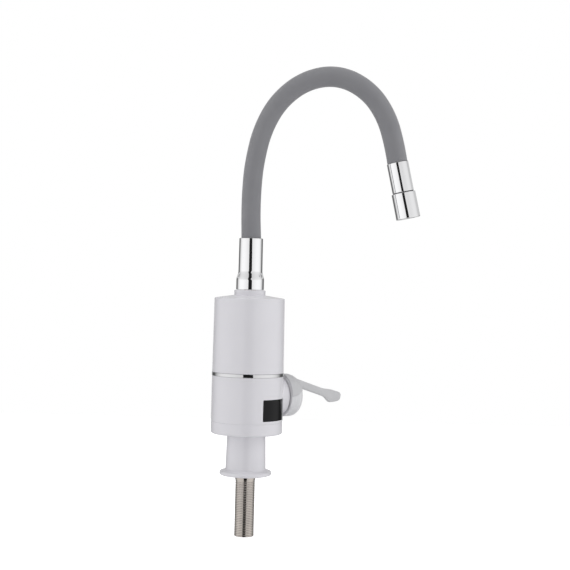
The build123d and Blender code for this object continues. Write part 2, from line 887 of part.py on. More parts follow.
with BuildPart() as aerator_gasket:
    with BuildSketch(outlet_plane.offset(spigot_end)):
        Circle(spigot_radius)
        Circle(gasket_bore_radius, mode=Mode.SUBTRACT)
    extrude(amount=gasket_thickness)

with BuildPart() as aerator_insert:
    with BuildSketch(outlet_plane.offset(spigot_end + gasket_thickness)):
        Circle(spigot_radius)
        RegularPolygon(insert_hole_radius, 6, mode=Mode.SUBTRACT)
        with PolarLocations(insert_hole_circle, insert_holes):
            RegularPolygon(insert_hole_radius, 6, mode=Mode.SUBTRACT)
    extrude(amount=lip_start - spigot_end - gasket_thickness)

# Boards: mains control board opposite the handle, display board behind the lens
board_plane = outward_plane(handle_angle + 180, seam + lap_height + fixed_gap)
board_half_width = math.sqrt((housing_bore - fixed_gap) ** 2 - (board_distance + board_thickness) ** 2)
with BuildPart() as control_board:
    with BuildSketch(board_plane.offset(board_distance)):
        with Locations((0, board_height / 2)):
            Rectangle(2 * board_half_width, board_height)
    extrude(amount=board_thickness)

component_plane = board_plane.offset(board_distance)
with BuildPart() as relay:
    with BuildSketch(component_plane):
        with Locations(((component_gap + relay_width) / 2, relay_middle)):
            Rectangle(relay_width, relay_height)
    extrude(amount=-relay_depth)

with BuildPart() as heat_sink:
    with BuildSketch(component_plane):
        with Locations((-(component_gap + sink_width) / 2, sink_middle)):
            Rectangle(sink_width, sink_height)
    extrude(amount=-sink_base)
    with BuildSketch(component_plane.offset(-sink_base)):
        with Locations((-(component_gap + sink_width) / 2, sink_middle)):
            with GridLocations(fin_pitch, 0, fin_count, 1):
                Rectangle(fin_thickness, sink_height)
    extrude(amount=sink_base - sink_depth)

with BuildPart() as power_triac:
    with BuildSketch(component_plane):
        with Locations((-(component_gap + triac_width) / 2, triac_middle)):
            Rectangle(triac_width, triac_height)
    extrude(amount=-triac_depth)

with BuildPart() as terminal_block:
    with BuildSketch(component_plane):
        with Locations(((component_gap + terminal_width) / 2, terminal_middle)):
            Rectangle(terminal_width, terminal_height)
    extrude(amount=-terminal_depth)
    with BuildSketch(component_plane.offset(-terminal_depth)):
        with Locations(((component_gap + terminal_width) / 2, terminal_middle)):
            with GridLocations(terminal_pitch, 0, terminal_count, 1):
                Rectangle(terminal_hole_width, terminal_hole_height)
    extrude(amount=terminal_hole_depth, mode=Mode.SUBTRACT)

# The display board carries its module as close behind the lens as the round housing lets it
display_plane = outward_plane(window_angle, seam + lap_height + fixed_gap)
module_face = math.sqrt((housing_bore - module_gap) ** 2 - (module_width / 2) ** 2)
display_board_front = module_face - module_depth
display_half_width = math.sqrt((housing_bore - fixed_gap) ** 2 - display_board_front**2)
with BuildPart() as display_board:
    with BuildSketch(display_plane.offset(display_board_front)):
        with Locations((0, display_board_height / 2)):
            Rectangle(2 * display_half_width, display_board_height)
    extrude(amount=-board_thickness)

with BuildPart() as display_module:
    with BuildSketch(display_plane.offset(display_board_front)):
        with Locations((0, display_board_height / 2)):
            Rectangle(module_width, module_height)
    extrude(amount=module_depth)

# Grommet where the mains cord enters, at the back
grommet_plane = outward_plane(cord_angle, seam + grommet_above_seam, body_radius)
with BuildPart() as cable_grommet:
    with BuildSketch(grommet_plane):
        Rectangle(grommet_width, grommet_height)
    extrude(amount=wall)
    with BuildSketch(grommet_plane):
        Rectangle(grommet_width - wall - 2 * fixed_gap, grommet_height - wall - 2 * fixed_gap)
    extrude(amount=-2 * wall)
    with BuildSketch(grommet_plane.offset(wall)):
        Circle(cord_hole_radius)
    extrude(amount=-3 * wall, mode=Mode.SUBTRACT)

parts = {
    "inlet_shank": inlet_shank.part,
    "pedestal": pedestal.part,
    "shank_nut": shank_nut.part,
    "bottom_cover": bottom_cover.part,
    "lower_housing": lower_housing.part,
    "display_lens": display_lens.part,
    "trim_ring": trim_ring.part,
    "upper_housing": upper_housing.part,
    "top_collar": top_collar.part,
    "valve_body": valve_body.part,
    "feed_pipe": feed_pipe.part,
    "flow_piston": flow_piston.part,
    "flow_spring": flow_spring.part,
    "reed_switch": reed_switch.part,
    "seat_seal": seat_seal.part,
    "fixed_disc": fixed_disc.part,
    "moving_disc": moving_disc.part,
    "cartridge_spindle": cartridge_spindle.part,
    "cartridge_body": cartridge_body.part,
    "handle_hub": handle_hub.part,
    "handle_screw": handle_screw.part,
    "screw_cap": screw_cap.part,
    "handle_lever": handle_lever.part,
    "heater_tank": heater_tank.part,
    "tank_base": tank_base.part,
    "heating_element": heating_element.part,
    "temperature_sensor": temperature_sensor.part,
    "thermal_cutout": thermal_cutout.part,
    "swivel_stem": swivel_stem.part,
    "stem_seal": stem_seal.part,
    "stem_nut": stem_nut.part,
    "base_ferrule": base_ferrule.part,
    "silicone_sleeve": silicone_sleeve,
    "inner_hose": inner_hose,
    "outlet_ferrule": outlet_ferrule.part,
    "aerator_housing": aerator_housing.part,
    "aerator_gasket": aerator_gasket.part,
    "aerator_insert": aerator_insert.part,
    "control_board": control_board.part,
    "relay": relay.part,
    "heat_sink": heat_sink.part,
    "power_triac": power_triac.part,
    "terminal_block": terminal_block.part,
    "display_board": display_board.part,
    "display_module": display_module.part,
    "cable_grommet": cable_grommet.part,
}
for number, section in enumerate(core_sections, 1):
    parts[f"neck_section_{number:02d}"] = section

os.makedirs("parts", exist_ok=True)
for name, part in parts.items():
    part.label = name
    export_step(part, f"parts/{name}.step")
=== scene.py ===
"""Electric instant water heater tap: its finished pieces, their materials and the stage.

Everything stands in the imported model's frame.
"""

import json
import math

import bmesh
import bpy
from bpy.props import FloatProperty, FloatVectorProperty, IntProperty, PointerProperty
from mathutils import Matrix, Vector


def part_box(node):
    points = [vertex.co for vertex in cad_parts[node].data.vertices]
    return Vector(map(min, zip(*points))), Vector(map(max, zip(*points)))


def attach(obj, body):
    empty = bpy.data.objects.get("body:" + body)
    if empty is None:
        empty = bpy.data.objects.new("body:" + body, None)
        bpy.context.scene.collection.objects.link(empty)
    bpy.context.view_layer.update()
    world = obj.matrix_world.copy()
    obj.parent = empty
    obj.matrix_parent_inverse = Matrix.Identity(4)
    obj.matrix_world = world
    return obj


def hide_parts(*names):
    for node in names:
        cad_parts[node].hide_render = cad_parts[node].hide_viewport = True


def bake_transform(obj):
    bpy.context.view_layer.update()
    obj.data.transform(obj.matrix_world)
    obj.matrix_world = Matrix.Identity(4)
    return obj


bl_info = {
    "name": "Instant water heater tap",
    "version": (1, 0, 0),
    "blender": (4, 5, 0),
    "location": "3D View > Sidebar > Tap",
    "description": "Builds the pieces, materials and stage of an electric instant water heater tap",
    "category": "Object",
}

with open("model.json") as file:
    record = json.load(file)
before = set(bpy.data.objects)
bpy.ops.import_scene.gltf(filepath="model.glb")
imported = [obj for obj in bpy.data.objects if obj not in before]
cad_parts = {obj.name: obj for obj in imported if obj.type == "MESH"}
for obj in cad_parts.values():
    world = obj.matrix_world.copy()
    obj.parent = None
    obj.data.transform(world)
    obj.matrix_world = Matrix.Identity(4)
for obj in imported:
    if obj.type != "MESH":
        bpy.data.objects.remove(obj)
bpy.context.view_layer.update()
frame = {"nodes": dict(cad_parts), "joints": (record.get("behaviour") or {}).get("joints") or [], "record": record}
nodes = frame["nodes"]
joints = {joint["name"]: joint for joint in frame["joints"]}

MM = 0.001


def top(node):
    """Height of a node's top, in metres."""
    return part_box(node)[1].z


def bottom(node):
    """Height of a node's underside, in metres."""
    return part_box(node)[0].z


def reach(node):
    """Widest radius of a round upright node, in metres."""
    low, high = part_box(node)
    return (high.x - low.x) / 2


def size(name, description, default, unit="LENGTH"):
    """A length in metres, or an angle in radians, that a user may change."""
    return FloatProperty(name=name, description=description, default=default, unit=unit, precision=5)


def colour(name, description, default):
    """A colour that a user may change."""
    return FloatVectorProperty(
        name=name, description=description, default=default, subtype="COLOR", size=3, min=0, max=1
    )


class TapSizes(bpy.types.PropertyGroup):
    """Sizes of the tap's outer pieces."""

    wall: size("Wall", "Wall of the moulded housings", 2.5 * MM)
    flange_radius: size("Flange", "Radius of the foot's flange", reach("pedestal") + 0.3 * MM)
    foot_neck_root: size("Foot neck root", "Radius of the foot's neck above its flange", 21.65 * MM)
    foot_neck_top: size("Foot neck top", "Radius of the foot's neck under the cover", 20.6 * MM)
    flange_edge: size("Flange edge", "Height at which the flange's edge turns into its slope", 4.7 * MM)
    flange_top: size("Flange top", "Height at which the flange's slope meets the neck", 6.4 * MM)
    flange_rise: size("Flange rise", "How far the flange's edge stands above the deck", 0.8 * MM)
    cover_round: size("Cover round", "Rounding of the bottom cover's edge", 2.0 * MM)
    thread_pitch: size("Thread pitch", "Pitch of the inlet's pipe thread", 1.814 * MM)
    thread_depth: size("Thread depth", "Depth of the inlet's pipe thread", 0.3 * MM)
    shoulder_below_deck: size("Shoulder", "How far the plain shoulder reaches below the deck", 4.5 * MM)
    ferrule_foot_height: size("Ferrule foot", "Height of the spout ferrule's wide foot", 12.1 * MM)
    ferrule_flare: size("Ferrule flare", "Height of the taper above the ferrule's foot", 6 * MM)
    hub_round: size("Hub round", "Rounding of the handle hub's front edge", 10 * MM)
    saddle_half_angle: size("Saddle", "Half the angle of the lever's saddle", math.radians(89), "ROTATION")
    window_corner: size("Window corner", "Corner radius of the display window", 1.1 * MM)
    round_segments: IntProperty(
        name="Segments", description="Segments round a turned piece", default=160, min=24
    )


class TapColours(bpy.types.PropertyGroup):
    """Colours of the tap's finishes."""

    shell: colour("Shell", "Glossy white moulded plastic of the housings", (0.80, 0.79, 0.82))
    hub: colour("Hub", "Glossy white moulded plastic of the handle's hub", (0.76, 0.76, 0.77))
    lever: colour("Lever", "Satin light grey moulding of the lever", (0.615, 0.615, 0.622))
    chrome: colour("Chrome", "Polished plating", (0.96, 0.96, 0.97))
    trim: colour("Trim", "Plating of the ring between the housings", (0.74, 0.74, 0.75))
    shank: colour("Shank", "Warm brushed nickel of the threaded inlet", (0.56, 0.515, 0.475))
    silicone: colour("Silicone", "Matte grey sleeve of the spout", (0.25, 0.25, 0.262))
    display: colour("Display", "Dark tinted display window", (0.002, 0.002, 0.003))


def sizes():
    """The scene's sizes of the tap."""
    return bpy.context.scene.tap_sizes


def colours():
    """The scene's colours of the tap."""
    return bpy.context.scene.tap_colours


# Shared surface effects, as node groups

SOILED_TONE = (0.55, 0.56, 0.6, 1)
SOCKET_KINDS = {"Colour": "NodeSocketColor", "Line direction": "NodeSocketVector"}


def new_group(name, inputs):
    """An empty node group for a kind of surface, with its three outputs, and its two end nodes."""
    group = bpy.data.node_groups.new(name, "ShaderNodeTree")
    for label, default in inputs.items():
        kind = SOCKET_KINDS.get(label, "NodeSocketFloat")
        socket = group.interface.new_socket(label, in_out="INPUT", socket_type=kind)
        socket.default_value = default
    for label in ("Colour", "Roughness", "Height"):
        kind = SOCKET_KINDS.get(label, "NodeSocketFloat")
        group.interface.new_socket(label, in_out="OUTPUT", socket_type=kind)
    return group, group.nodes.new("NodeGroupInput"), group.nodes.new("NodeGroupOutput")


def add(tree, kind, **settings):
    """A node with its settings, and with its unlinked inputs set by name where a key starts with in_."""
    node = tree.nodes.new(kind)
    for key, value in settings.items():
        if not key.startswith("in_"):
            setattr(node, key, value)
    for key, value in settings.items():
        if key.startswith("in_"):
            node.inputs[key[3:].replace("_", " ")].default_value = value
    return node


def feed(tree, socket, value):
    """Links an input to another node's output, or sets it to a plain value."""
    if isinstance(value, bpy.types.NodeSocket):
        tree.links.new(value, socket)
    else:
        socket.default_value = value


def math_node(tree, operation, *values):
    """A maths node fed by outputs or plain numbers; returns its output."""
    node = add(tree, "ShaderNodeMath", operation=operation)
    for socket, value in zip(node.inputs, values):
        feed(tree, socket, value)
    return node.outputs[0]


def surface_place(tree, stretch=(1, 1, 1)):
    """The object's own coordinates in metres, stretched along the axes."""
    place = tree.nodes.new("ShaderNodeTexCoord")
    mapping = tree.nodes.new("ShaderNodeMapping")
    tree.links.new(place.outputs["Object"], mapping.inputs["Vector"])
    feed(tree, mapping.inputs["Scale"], stretch)
    return mapping.outputs["Vector"]


def noise(tree, place, scale, detail=2.0):
    """A noise value from 0 to 1 with features of one over the scale, in metres."""
    node = add(tree, "ShaderNodeTexNoise", in_Detail=detail)
    feed(tree, node.inputs["Scale"], scale)
    tree.links.new(place, node.inputs["Vector"])
    return node.outputs["Fac"]


def spread(tree, value, low, high):
    """Maps a noise value's middle band to the range from low to high."""
    node = add(tree, "ShaderNodeMapRange", in_From_Min=0.3, in_From_Max=0.7)
    for label, fed in (("Value", value), ("To Min", low), ("To Max", high)):
        feed(tree, node.inputs[label], fed)
    return node.outputs["Result"]


def shaded(tree, base, mask, amount):
    """The base colour darkened by the mask times the amount."""
    node = add(tree, "ShaderNodeMix", data_type="RGBA", blend_type="MULTIPLY", in_B=SOILED_TONE)
    tree.links.new(math_node(tree, "MULTIPLY", mask, amount), node.inputs["Factor"])
    tree.links.new(base, node.inputs["A"])
    return node.outputs["Result"]


def put_out(tree, given, made, stains, stain_amount, gloss, relief):
    """Links the soiled colour, the roughness between its limits, and the relief to a group's outputs."""
    mask = spread(tree, stains, 0.0, 1.0)
    soiled = shaded(tree, given.outputs["Colour"], mask, given.outputs[stain_amount])
    roughness = spread(tree, gloss, given.outputs["Roughness low"], given.outputs["Roughness high"])
    for label, value in (("Colour", soiled), ("Roughness", roughness), ("Height", relief)):
        tree.links.new(value, made.inputs[label])


def moulded_skin():
    """Moulded plastic: the mould's faint ripple, slow changes of gloss, and fine handling marks."""
    inputs = {
        "Colour": (0.8, 0.8, 0.8, 1),
        "Ripple size": 260.0,
        "Roughness low": 0.2,
        "Roughness high": 0.3,
        "Soiling": 0.05,
    }
    tree, given, made = new_group("Moulded skin", inputs)
    place = surface_place(tree)
    slow = noise(tree, place, 35.0, 3.0)
    ripple = noise(tree, place, given.outputs["Ripple size"], 1.0)
    marks = noise(tree, surface_place(tree, (1, 1, 0.2)), 900.0)
    gloss = math_node(tree, "MULTIPLY", math_node(tree, "ADD", slow, marks), 0.5)
    put_out(tree, given, made, slow, "Soiling", gloss, ripple)
    return tree


def worked_metal():
    """Metal: fine tool or brush lines along one direction, and slow changes of tone."""
    inputs = {
        "Colour": (0.6, 0.6, 0.6, 1),
        "Line direction": (60.0, 60.0, 2500.0),
        "Roughness low": 0.2,
        "Roughness high": 0.4,
        "Tarnish": 0.1,
    }
    tree, given, made = new_group("Worked metal", inputs)
    lines = noise(tree, surface_place(tree, given.outputs["Line direction"]), 1.0)
    slow = noise(tree, surface_place(tree), 90.0, 3.0)
    put_out(tree, given, made, slow, "Tarnish", lines, lines)
    return tree


def soft_skin():
    """Silicone and rubber: a fine matte grain with slow cloudiness and dust."""
    inputs = {
        "Colour": (0.2, 0.2, 0.2, 1),
        "Grain size": 2500.0,
        "Cloudiness": 0.1,
        "Roughness low": 0.55,
        "Roughness high": 0.75,
    }
    tree, given, made = new_group("Soft skin", inputs)
    place = surface_place(tree)
    grain = noise(tree, place, given.outputs["Grain size"], 3.0)
    clouds = noise(tree, place, 60.0, 4.0)
    put_out(tree, given, made, clouds, "Cloudiness", clouds, grain)
    return tree


EFFECTS = {}
FINISHES = {}


def effect(builder):
    """A shared effect's node group, built once."""
    if builder.__name__ not in EFFECTS:
        EFFECTS[builder.__name__] = builder()
    return EFFECTS[builder.__name__]


def finish(name, builder, base, roughness, texture, bump, shader_values):
    """A material: a shared effect with its own values, which feeds a Principled shader with its own.

    The roughness is its low and high limit, and the bump its strength and its height in metres.
    """
    if name in FINISHES:
        return FINISHES[name]
    packed = bpy.data.materials.get(name)
    if packed:
        packed.name = f"{name}_packed"
    material = bpy.data.materials.new(name)
    FINISHES[name] = material
    material.use_nodes = True
    tree = material.node_tree
    shader = tree.nodes["Principled BSDF"]
    skin = tree.nodes.new("ShaderNodeGroup")
    skin.node_tree = effect(builder)
    values = {"Colour": (*base, 1), "Roughness low": roughness[0], "Roughness high": roughness[1]}
    for label, value in {**values, **texture}.items():
        skin.inputs[label].default_value = value
    for label, value in shader_values.items():
        shader.inputs[label].default_value = value
    relief = add(tree, "ShaderNodeBump", in_Strength=bump[0], in_Distance=bump[1])
    tree.links.new(skin.outputs["Height"], relief.inputs["Height"])
    tree.links.new(relief.outputs["Normal"], shader.inputs["Normal"])
    tree.links.new(skin.outputs["Colour"], shader.inputs["Base Color"])
    tree.links.new(skin.outputs["Roughness"], shader.inputs["Roughness"])
    material.diffuse_color = (*base, 1)
    return material


# Materials, one function for each finish that the tap has


def white_shell():
    """Glossy white plastic of the housings and the foot."""
    return finish(
        "white_shell",
        moulded_skin,
        colours().shell,
        (0.16, 0.24),
        {"Ripple size": 220.0, "Soiling": 0.03},
        (0.06, 0.0002),
        {"Specular IOR Level": 0.5, "Coat Weight": 0.15, "Coat Roughness": 0.08},
    )


def white_hub():
    """White plastic of the hub, a little duller than the housings."""
    return finish(
        "white_hub",
        moulded_skin,
        colours().hub,
        (0.22, 0.32),
        {"Ripple size": 300.0, "Soiling": 0.06},
        (0.08, 0.0002),
        {"Specular IOR Level": 0.5},
    )


def grey_lever():
    """Satin grey plastic of the lever."""
    return finish(
        "grey_lever",
        moulded_skin,
        colours().lever,
        (0.36, 0.46),
        {"Ripple size": 300.0, "Soiling": 0.08},
        (0.08, 0.0002),
        {"Specular IOR Level": 0.35},
    )


def chrome(name="chrome", base=None):
    """Polished plating, with its own name where its tone differs."""
    return finish(
        name,
        worked_metal,
        base or colours().chrome,
        (0.03, 0.07),
        {"Line direction": (40.0, 40.0, 40.0), "Tarnish": 0.04},
        (0.02, 0.0001),
        {"Metallic": 1.0},
    )


def shank_metal():
    """Warm nickel plating of the threaded inlet."""
    return finish(
        "shank_metal",
        worked_metal,
        colours().shank,
        (0.04, 0.08),
        {"Line direction": (90.0, 90.0, 5200.0), "Tarnish": 0.25},
        (0.03, 0.0001),
        {"Metallic": 1.0},
    )


def silicone():
    """Matte silicone of the spout's sleeve."""
    return finish(
        "silicone",
        soft_skin,
        colours().silicone,
        (0.55, 0.70),
        {"Grain size": 2600.0, "Cloudiness": 0.10},
        (0.25, 0.0001),
        {"Specular IOR Level": 0.5, "Sheen Weight": 0.45, "Sheen Roughness": 0.4},
    )


def display_black():
    """Dark glossy plastic of the display window."""
    return finish(
        "display_black",
        moulded_skin,
        colours().display,
        (0.03, 0.07),
        {"Ripple size": 90.0, "Soiling": 0.2},
        (0.01, 0.0001),
        {"Specular IOR Level": 0.22},
    )


def machined(name, base):
    """Plain machined or drawn metal, with fine lines round the upright axis."""
    return finish(
        name,
        worked_metal,
        base,
        (0.25, 0.4),
        {"Line direction": (70.0, 70.0, 3500.0), "Tarnish": 0.15},
        (0.12, 0.0001),
        {"Metallic": 1.0},
    )


def moulded(name, base):
    """Plain moulded plastic of an inner piece."""
    return finish(
        name,
        moulded_skin,
        base,
        (0.4, 0.55),
        {"Ripple size": 900.0, "Soiling": 0.1},
        (0.15, 0.0001),
        {"Specular IOR Level": 0.45},
    )


def rubbery(name, base):
    """Rubber of the seals and the cable grommet."""
    return finish(
        name,
        soft_skin,
        base,
        (0.6, 0.8),
        {"Grain size": 3200.0, "Cloudiness": 0.15},
        (0.3, 0.0001),
        {"Specular IOR Level": 0.4},
    )


def inner_finish(slot):
    """The finish of a piece inside the tap, by the record's material slot."""
    record = {material["slot"]: material for material in frame["record"]["materials"]}
    base = record[slot]["base_color"][:3]
    kind = record[slot]["class"]
    if kind in ("brass", "brushed_steel", "aluminium"):
        return machined(slot, base)
    if kind == "rubber":
        return rubbery(slot, base)
    return moulded(slot, base)


# Mesh building

SMALLEST_TURN = 1e-4
SMALLEST_EDGE = 1e-9


def outline(points, steps):
    """Edges of a closed outline of (radius, height) points, in order.

    A point with a third value is a corner rounded to that radius, in as many steps as given. Each edge is
    its start, its end, and the surface's direction at both.
    """
    count = len(points)
    corners = []
    for index, point in enumerate(points):
        here = Vector(point[:2])
        before = (here - Vector(points[index - 1][:2])).normalized()
        after = (Vector(points[(index + 1) % count][:2]) - here).normalized()
        turn = before.angle_signed(after, 0.0)
        radius = point[2] if len(point) > 2 else 0
        if not radius or abs(turn) < SMALLEST_TURN:
            corners.append([(here, Vector((way.y, -way.x))) for way in (before, after)])
            continue
        leg = radius * math.tan(abs(turn) / 2)
        start = here - before * leg
        inward = Vector((-before.y, before.x)) * (-1 if turn > 0 else 1)
        centre = start + inward * radius
        arc = []
        for step in range(steps + 1):
            spoke = (start - centre).copy()
            spoke.rotate(Matrix.Rotation(-turn * step / steps, 2))
            normal = spoke.normalized() * (-1 if turn > 0 else 1)
            arc.append((centre + spoke, normal))
        corners.append(arc)
    edges = []
    for index, corner in enumerate(corners):
        for start, end in zip(corner, corner[1:]):
            if (end[0] - start[0]).length > SMALLEST_EDGE:
                edges.append((start[0], end[0], start[1], end[1]))
        start = corner[-1][0]
        end = corners[(index + 1) % count][0][0]
        if (end - start).length > SMALLEST_EDGE:
            along = (end - start).normalized()
            normal = Vector((along.y, -along.x))
            edges.append((start, end, normal, normal))
    return edges


def mesh_object(name, vertices, faces, normals=None, flat=False):
    """A mesh object at the origin, with one direction for each corner of each face where they are given."""
    mesh = bpy.data.meshes.new(name)
    mesh.from_pydata([tuple(v) for v in vertices], [], faces)
    mesh.update()
    if not flat:
        mesh.shade_smooth()
    if normals:
        mesh.normals_split_custom_set([tuple(n) for n in normals])
    made = bpy.data.objects.new(name, mesh)
    bpy.context.scene.collection.objects.link(made)
    return made


def lathe(name, points, place=None, segments=None, steps=8):
    """A closed ring turned from an outline of (radius, height[, rounding]) points, anticlockwise."""
    place = place or Matrix.Identity(4)
    segments = segments or sizes().round_segments
    edges = outline(points, steps)
    turn = place.to_3x3()
    vertices = []
    for start, _, _, _ in edges:
        for segment in range(segments):
            angle = math.tau * segment / segments
            vertices.append(place @ Vector((start.x * math.cos(angle), start.x * math.sin(angle), start.y)))
    faces = []
    normals = []
    for index, (_, _, first, last) in enumerate(edges):
        row = index * segments
        following = (index + 1) % len(edges) * segments
        for segment in range(segments):
            beside = (segment + 1) % segments
            faces.append((row + segment, row + beside, following + beside, following + segment))
            ahead = segment + 1
            for side, normal in ((segment, first), (ahead, first), (ahead, last), (segment, last)):
                angle = math.tau * side / segments
                normals.append(
                    turn @ Vector((normal.x * math.cos(angle), normal.x * math.sin(angle), normal.y))
                )
    return mesh_object(name, vertices, faces, normals)


def disc(name, radius, low, high, edge, place):
    """A closed round plug with rounded edges, as a lathe outline that nearly meets the axis."""
    core = 0.02 * MM
    return lathe(name, [(core, low), (radius, low, edge), (radius, high, edge), (core, high)], place)


def dress(piece, body, material, *replaced, slot=None):
    """Gives a piece its material, its body, and the nodes that it stands for."""
    piece.data.materials.clear()
    piece.data.materials.append(material)
    if body:
        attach(piece, body)
    if replaced:
        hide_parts(*replaced)


def built(piece):
    """Applies the piece's modifiers."""
    graph = bpy.context.evaluated_depsgraph_get()
    mesh = bpy.data.meshes.new_from_object(piece.evaluated_get(graph))
    piece.modifiers.clear()
    piece.data = mesh


def cut(piece, *cutters):
    """Takes the cutters out of the piece and removes them."""
    for cutter in cutters:
        modifier = piece.modifiers.new("cut", "BOOLEAN")
        modifier.operation = "DIFFERENCE"
        modifier.solver = "EXACT"
        modifier.object = cutter
    built(piece)
    for cutter in cutters:
        bpy.data.objects.remove(cutter)


def curved_panel(name, angles, heights, radii, corner):
    """A closed piece of an upright tube's wall between two angles, heights and radii, with round corners."""
    middle_radius = (radii[0] + radii[1]) / 2
    reach_angle = corner / middle_radius
    corner_steps = 6
    wall_steps = 40
    eased = [reach_angle * (1 - math.cos(math.pi / 2 * i / corner_steps)) for i in range(corner_steps)]
    span = angles[1] - angles[0] - 2 * reach_angle
    stations = [angles[0] + step for step in eased]
    stations += [angles[0] + reach_angle + span * i / wall_steps for i in range(wall_steps + 1)]
    stations += [angles[1] - step for step in reversed(eased)]
    vertices = []
    for angle in stations:
        into = max(0.0, 1 - min(angle - angles[0], angles[1] - angle) / reach_angle)
        drop = corner * (1 - math.sqrt(max(0.0, 1 - into**2)))
        for radius in radii:
            for height in (heights[0] + drop, heights[1] - drop):
                vertices.append(Vector((radius * math.cos(angle), radius * math.sin(angle), height)))
    faces = []
    normals = []
    last = len(stations) - 1

    def outward(index):
        return Vector((math.cos(stations[index]), math.sin(stations[index]), 0))

    def quad(corners, directions):
        faces.append(corners)
        normals.extend(directions)

    for index in range(last):
        a = index * 4
        b = a + 4
        here = outward(index)
        beyond = outward(index + 1)
        quad((a + 2, b + 2, b + 3, a + 3), [here, beyond, beyond, here])
        quad((a, a + 1, b + 1, b), [-here, -here, -beyond, -beyond])
        up = (vertices[b + 3] - vertices[a + 3]).cross(-here).normalized()
        quad((a + 3, b + 3, b + 1, a + 1), [up] * 4)
        down = (vertices[b + 2] - vertices[a + 2]).cross(here).normalized()
        quad((a + 2, a, b, b + 2), [down] * 4)
    start = Vector((math.sin(stations[0]), -math.cos(stations[0]), 0))
    quad((0, 2, 3, 1), [start] * 4)
    end = Vector((-math.sin(stations[-1]), math.cos(stations[-1]), 0))
    quad((last * 4, last * 4 + 1, last * 4 + 3, last * 4 + 2), [end] * 4)
    return mesh_object(name, vertices, faces, normals)


# The handle's own frame: its Z points outward along the spindle and its Y along the lever's raised side


def handle_frame():
    """Matrix of the handle's axis."""
    joint = joints["handle_turn"]
    out = Vector(joint["axis"]).normalized()
    across = Vector((0, 0, 1)).cross(out)
    rotation = Matrix((across, out.cross(across), out)).transposed().to_4x4()
    return Matrix.Translation(Vector(joint["pos_m"])) @ rotation


# Places and sizes that more than one piece shares

INLET_THREAD = 20.955 * MM
SHANK_HOLE = 11.0 * MM
FOOT_FLOOR = 5 * MM
HOUSING_NECK = 10.1 * MM
BOSS_RADIUS = 20 * MM
BOSS_FACE = 41.9 * MM
HUB_RADIUS = 22.7 * MM
HUB_BACK = 42.7 * MM
HUB_FRONT = 61.0 * MM
WINDOW_ANGLES = (math.radians(-62.4), math.radians(-3.0))
WINDOW_HEIGHTS = (61.2 * MM, 84.0 * MM)
CUTTER_MARGIN = 2 * MM
SEAM_ROUND = 0.25 * MM
FINE_SEGMENTS = 256


class TAP_OT_inlet_shank(bpy.types.Operator):
    """Build the threaded inlet shank with its plain shoulder"""

    bl_idname = "tap.inlet_shank"
    bl_label = "Inlet shank"

    def execute(self, context):
        given = context.scene.tap_sizes
        low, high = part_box("inlet_shank")
        major = INLET_THREAD / 2
        shoulder = 10.9 * MM
        bore = 7.5 * MM
        segments = 96
        rows_per_pitch = 14
        thread_top = -given.shoulder_below_deck
        rows = int((thread_top - low.z) / given.thread_pitch * rows_per_pitch)
        profile = [(None, low.z + (thread_top - low.z) * row / rows) for row in range(rows + 1)]
        profile += [(shoulder, thread_top), (shoulder, FOOT_FLOOR), (major, FOOT_FLOOR)]
        profile += [(major, high.z), (bore, high.z), (bore, low.z)]
        vertices = []
        for radius, height in profile:
            for segment in range(segments):
                angle = math.tau * segment / segments
                here = radius or self.thread_radius(given, angle, height, low.z, thread_top)
                vertices.append((here * math.cos(angle), here * math.sin(angle), height))
        faces = []
        for index in range(len(profile)):
            row = index * segments
            following = (index + 1) % len(profile) * segments
            for segment in range(segments):
                beside = (segment + 1) % segments
                faces.append((row + segment, row + beside, following + beside, following + segment))
        piece = mesh_object("threaded_shank", vertices, faces)
        piece.data.set_sharp_from_angle(angle=math.radians(50))
        dress(piece, "tap_body", shank_metal(), "inlet_shank", slot="shank_metal")
        return {"FINISHED"}

    def thread_radius(self, given, angle, height, low, high):
        """Radius of the helical thread, which runs out at both ends."""
        groove_share = 0.4
        lower_runout = 1.2 * MM
        upper_runout = 2.0 * MM
        end_chamfer = 0.4 * MM
        phase = (height / given.thread_pitch - angle / math.tau) % 1.0
        groove = max(0.0, 1 - abs(phase - 0.5) * 2 / groove_share)
        runout = min(1.0, (height - low) / lower_runout, (high - height) / upper_runout)
        chamfer = max(0.0, end_chamfer - (height - low))
        return INLET_THREAD / 2 - given.thread_depth * groove * max(0.0, runout) - chamfer


class TAP_OT_foot(bpy.types.Operator):
    """Build the round foot that stands on the deck"""

    bl_idname = "tap.foot"
    bl_label = "Foot"

    def execute(self, context):
        given = context.scene.tap_sizes
        flange = given.flange_radius
        flange_round = 1.8 * MM
        flat_underside = 18.5 * MM
        foot_top = top("pedestal")
        inner = given.foot_neck_top - given.wall
        points = [
            (SHANK_HOLE, 0),
            (flat_underside, 0, 1 * MM),
            (flange, given.flange_rise, flange_round),
            (flange, given.flange_edge, flange_round),
            (given.foot_neck_root, given.flange_top, 1.6 * MM),
            (given.foot_neck_top, foot_top),
            (inner, foot_top),
            (inner, FOOT_FLOOR),
            (SHANK_HOLE, FOOT_FLOOR),
        ]
        piece = lathe("foot", points, steps=10)
        dress(piece, "tap_body", white_shell(), "pedestal", slot="white_shell")
        return {"FINISHED"}


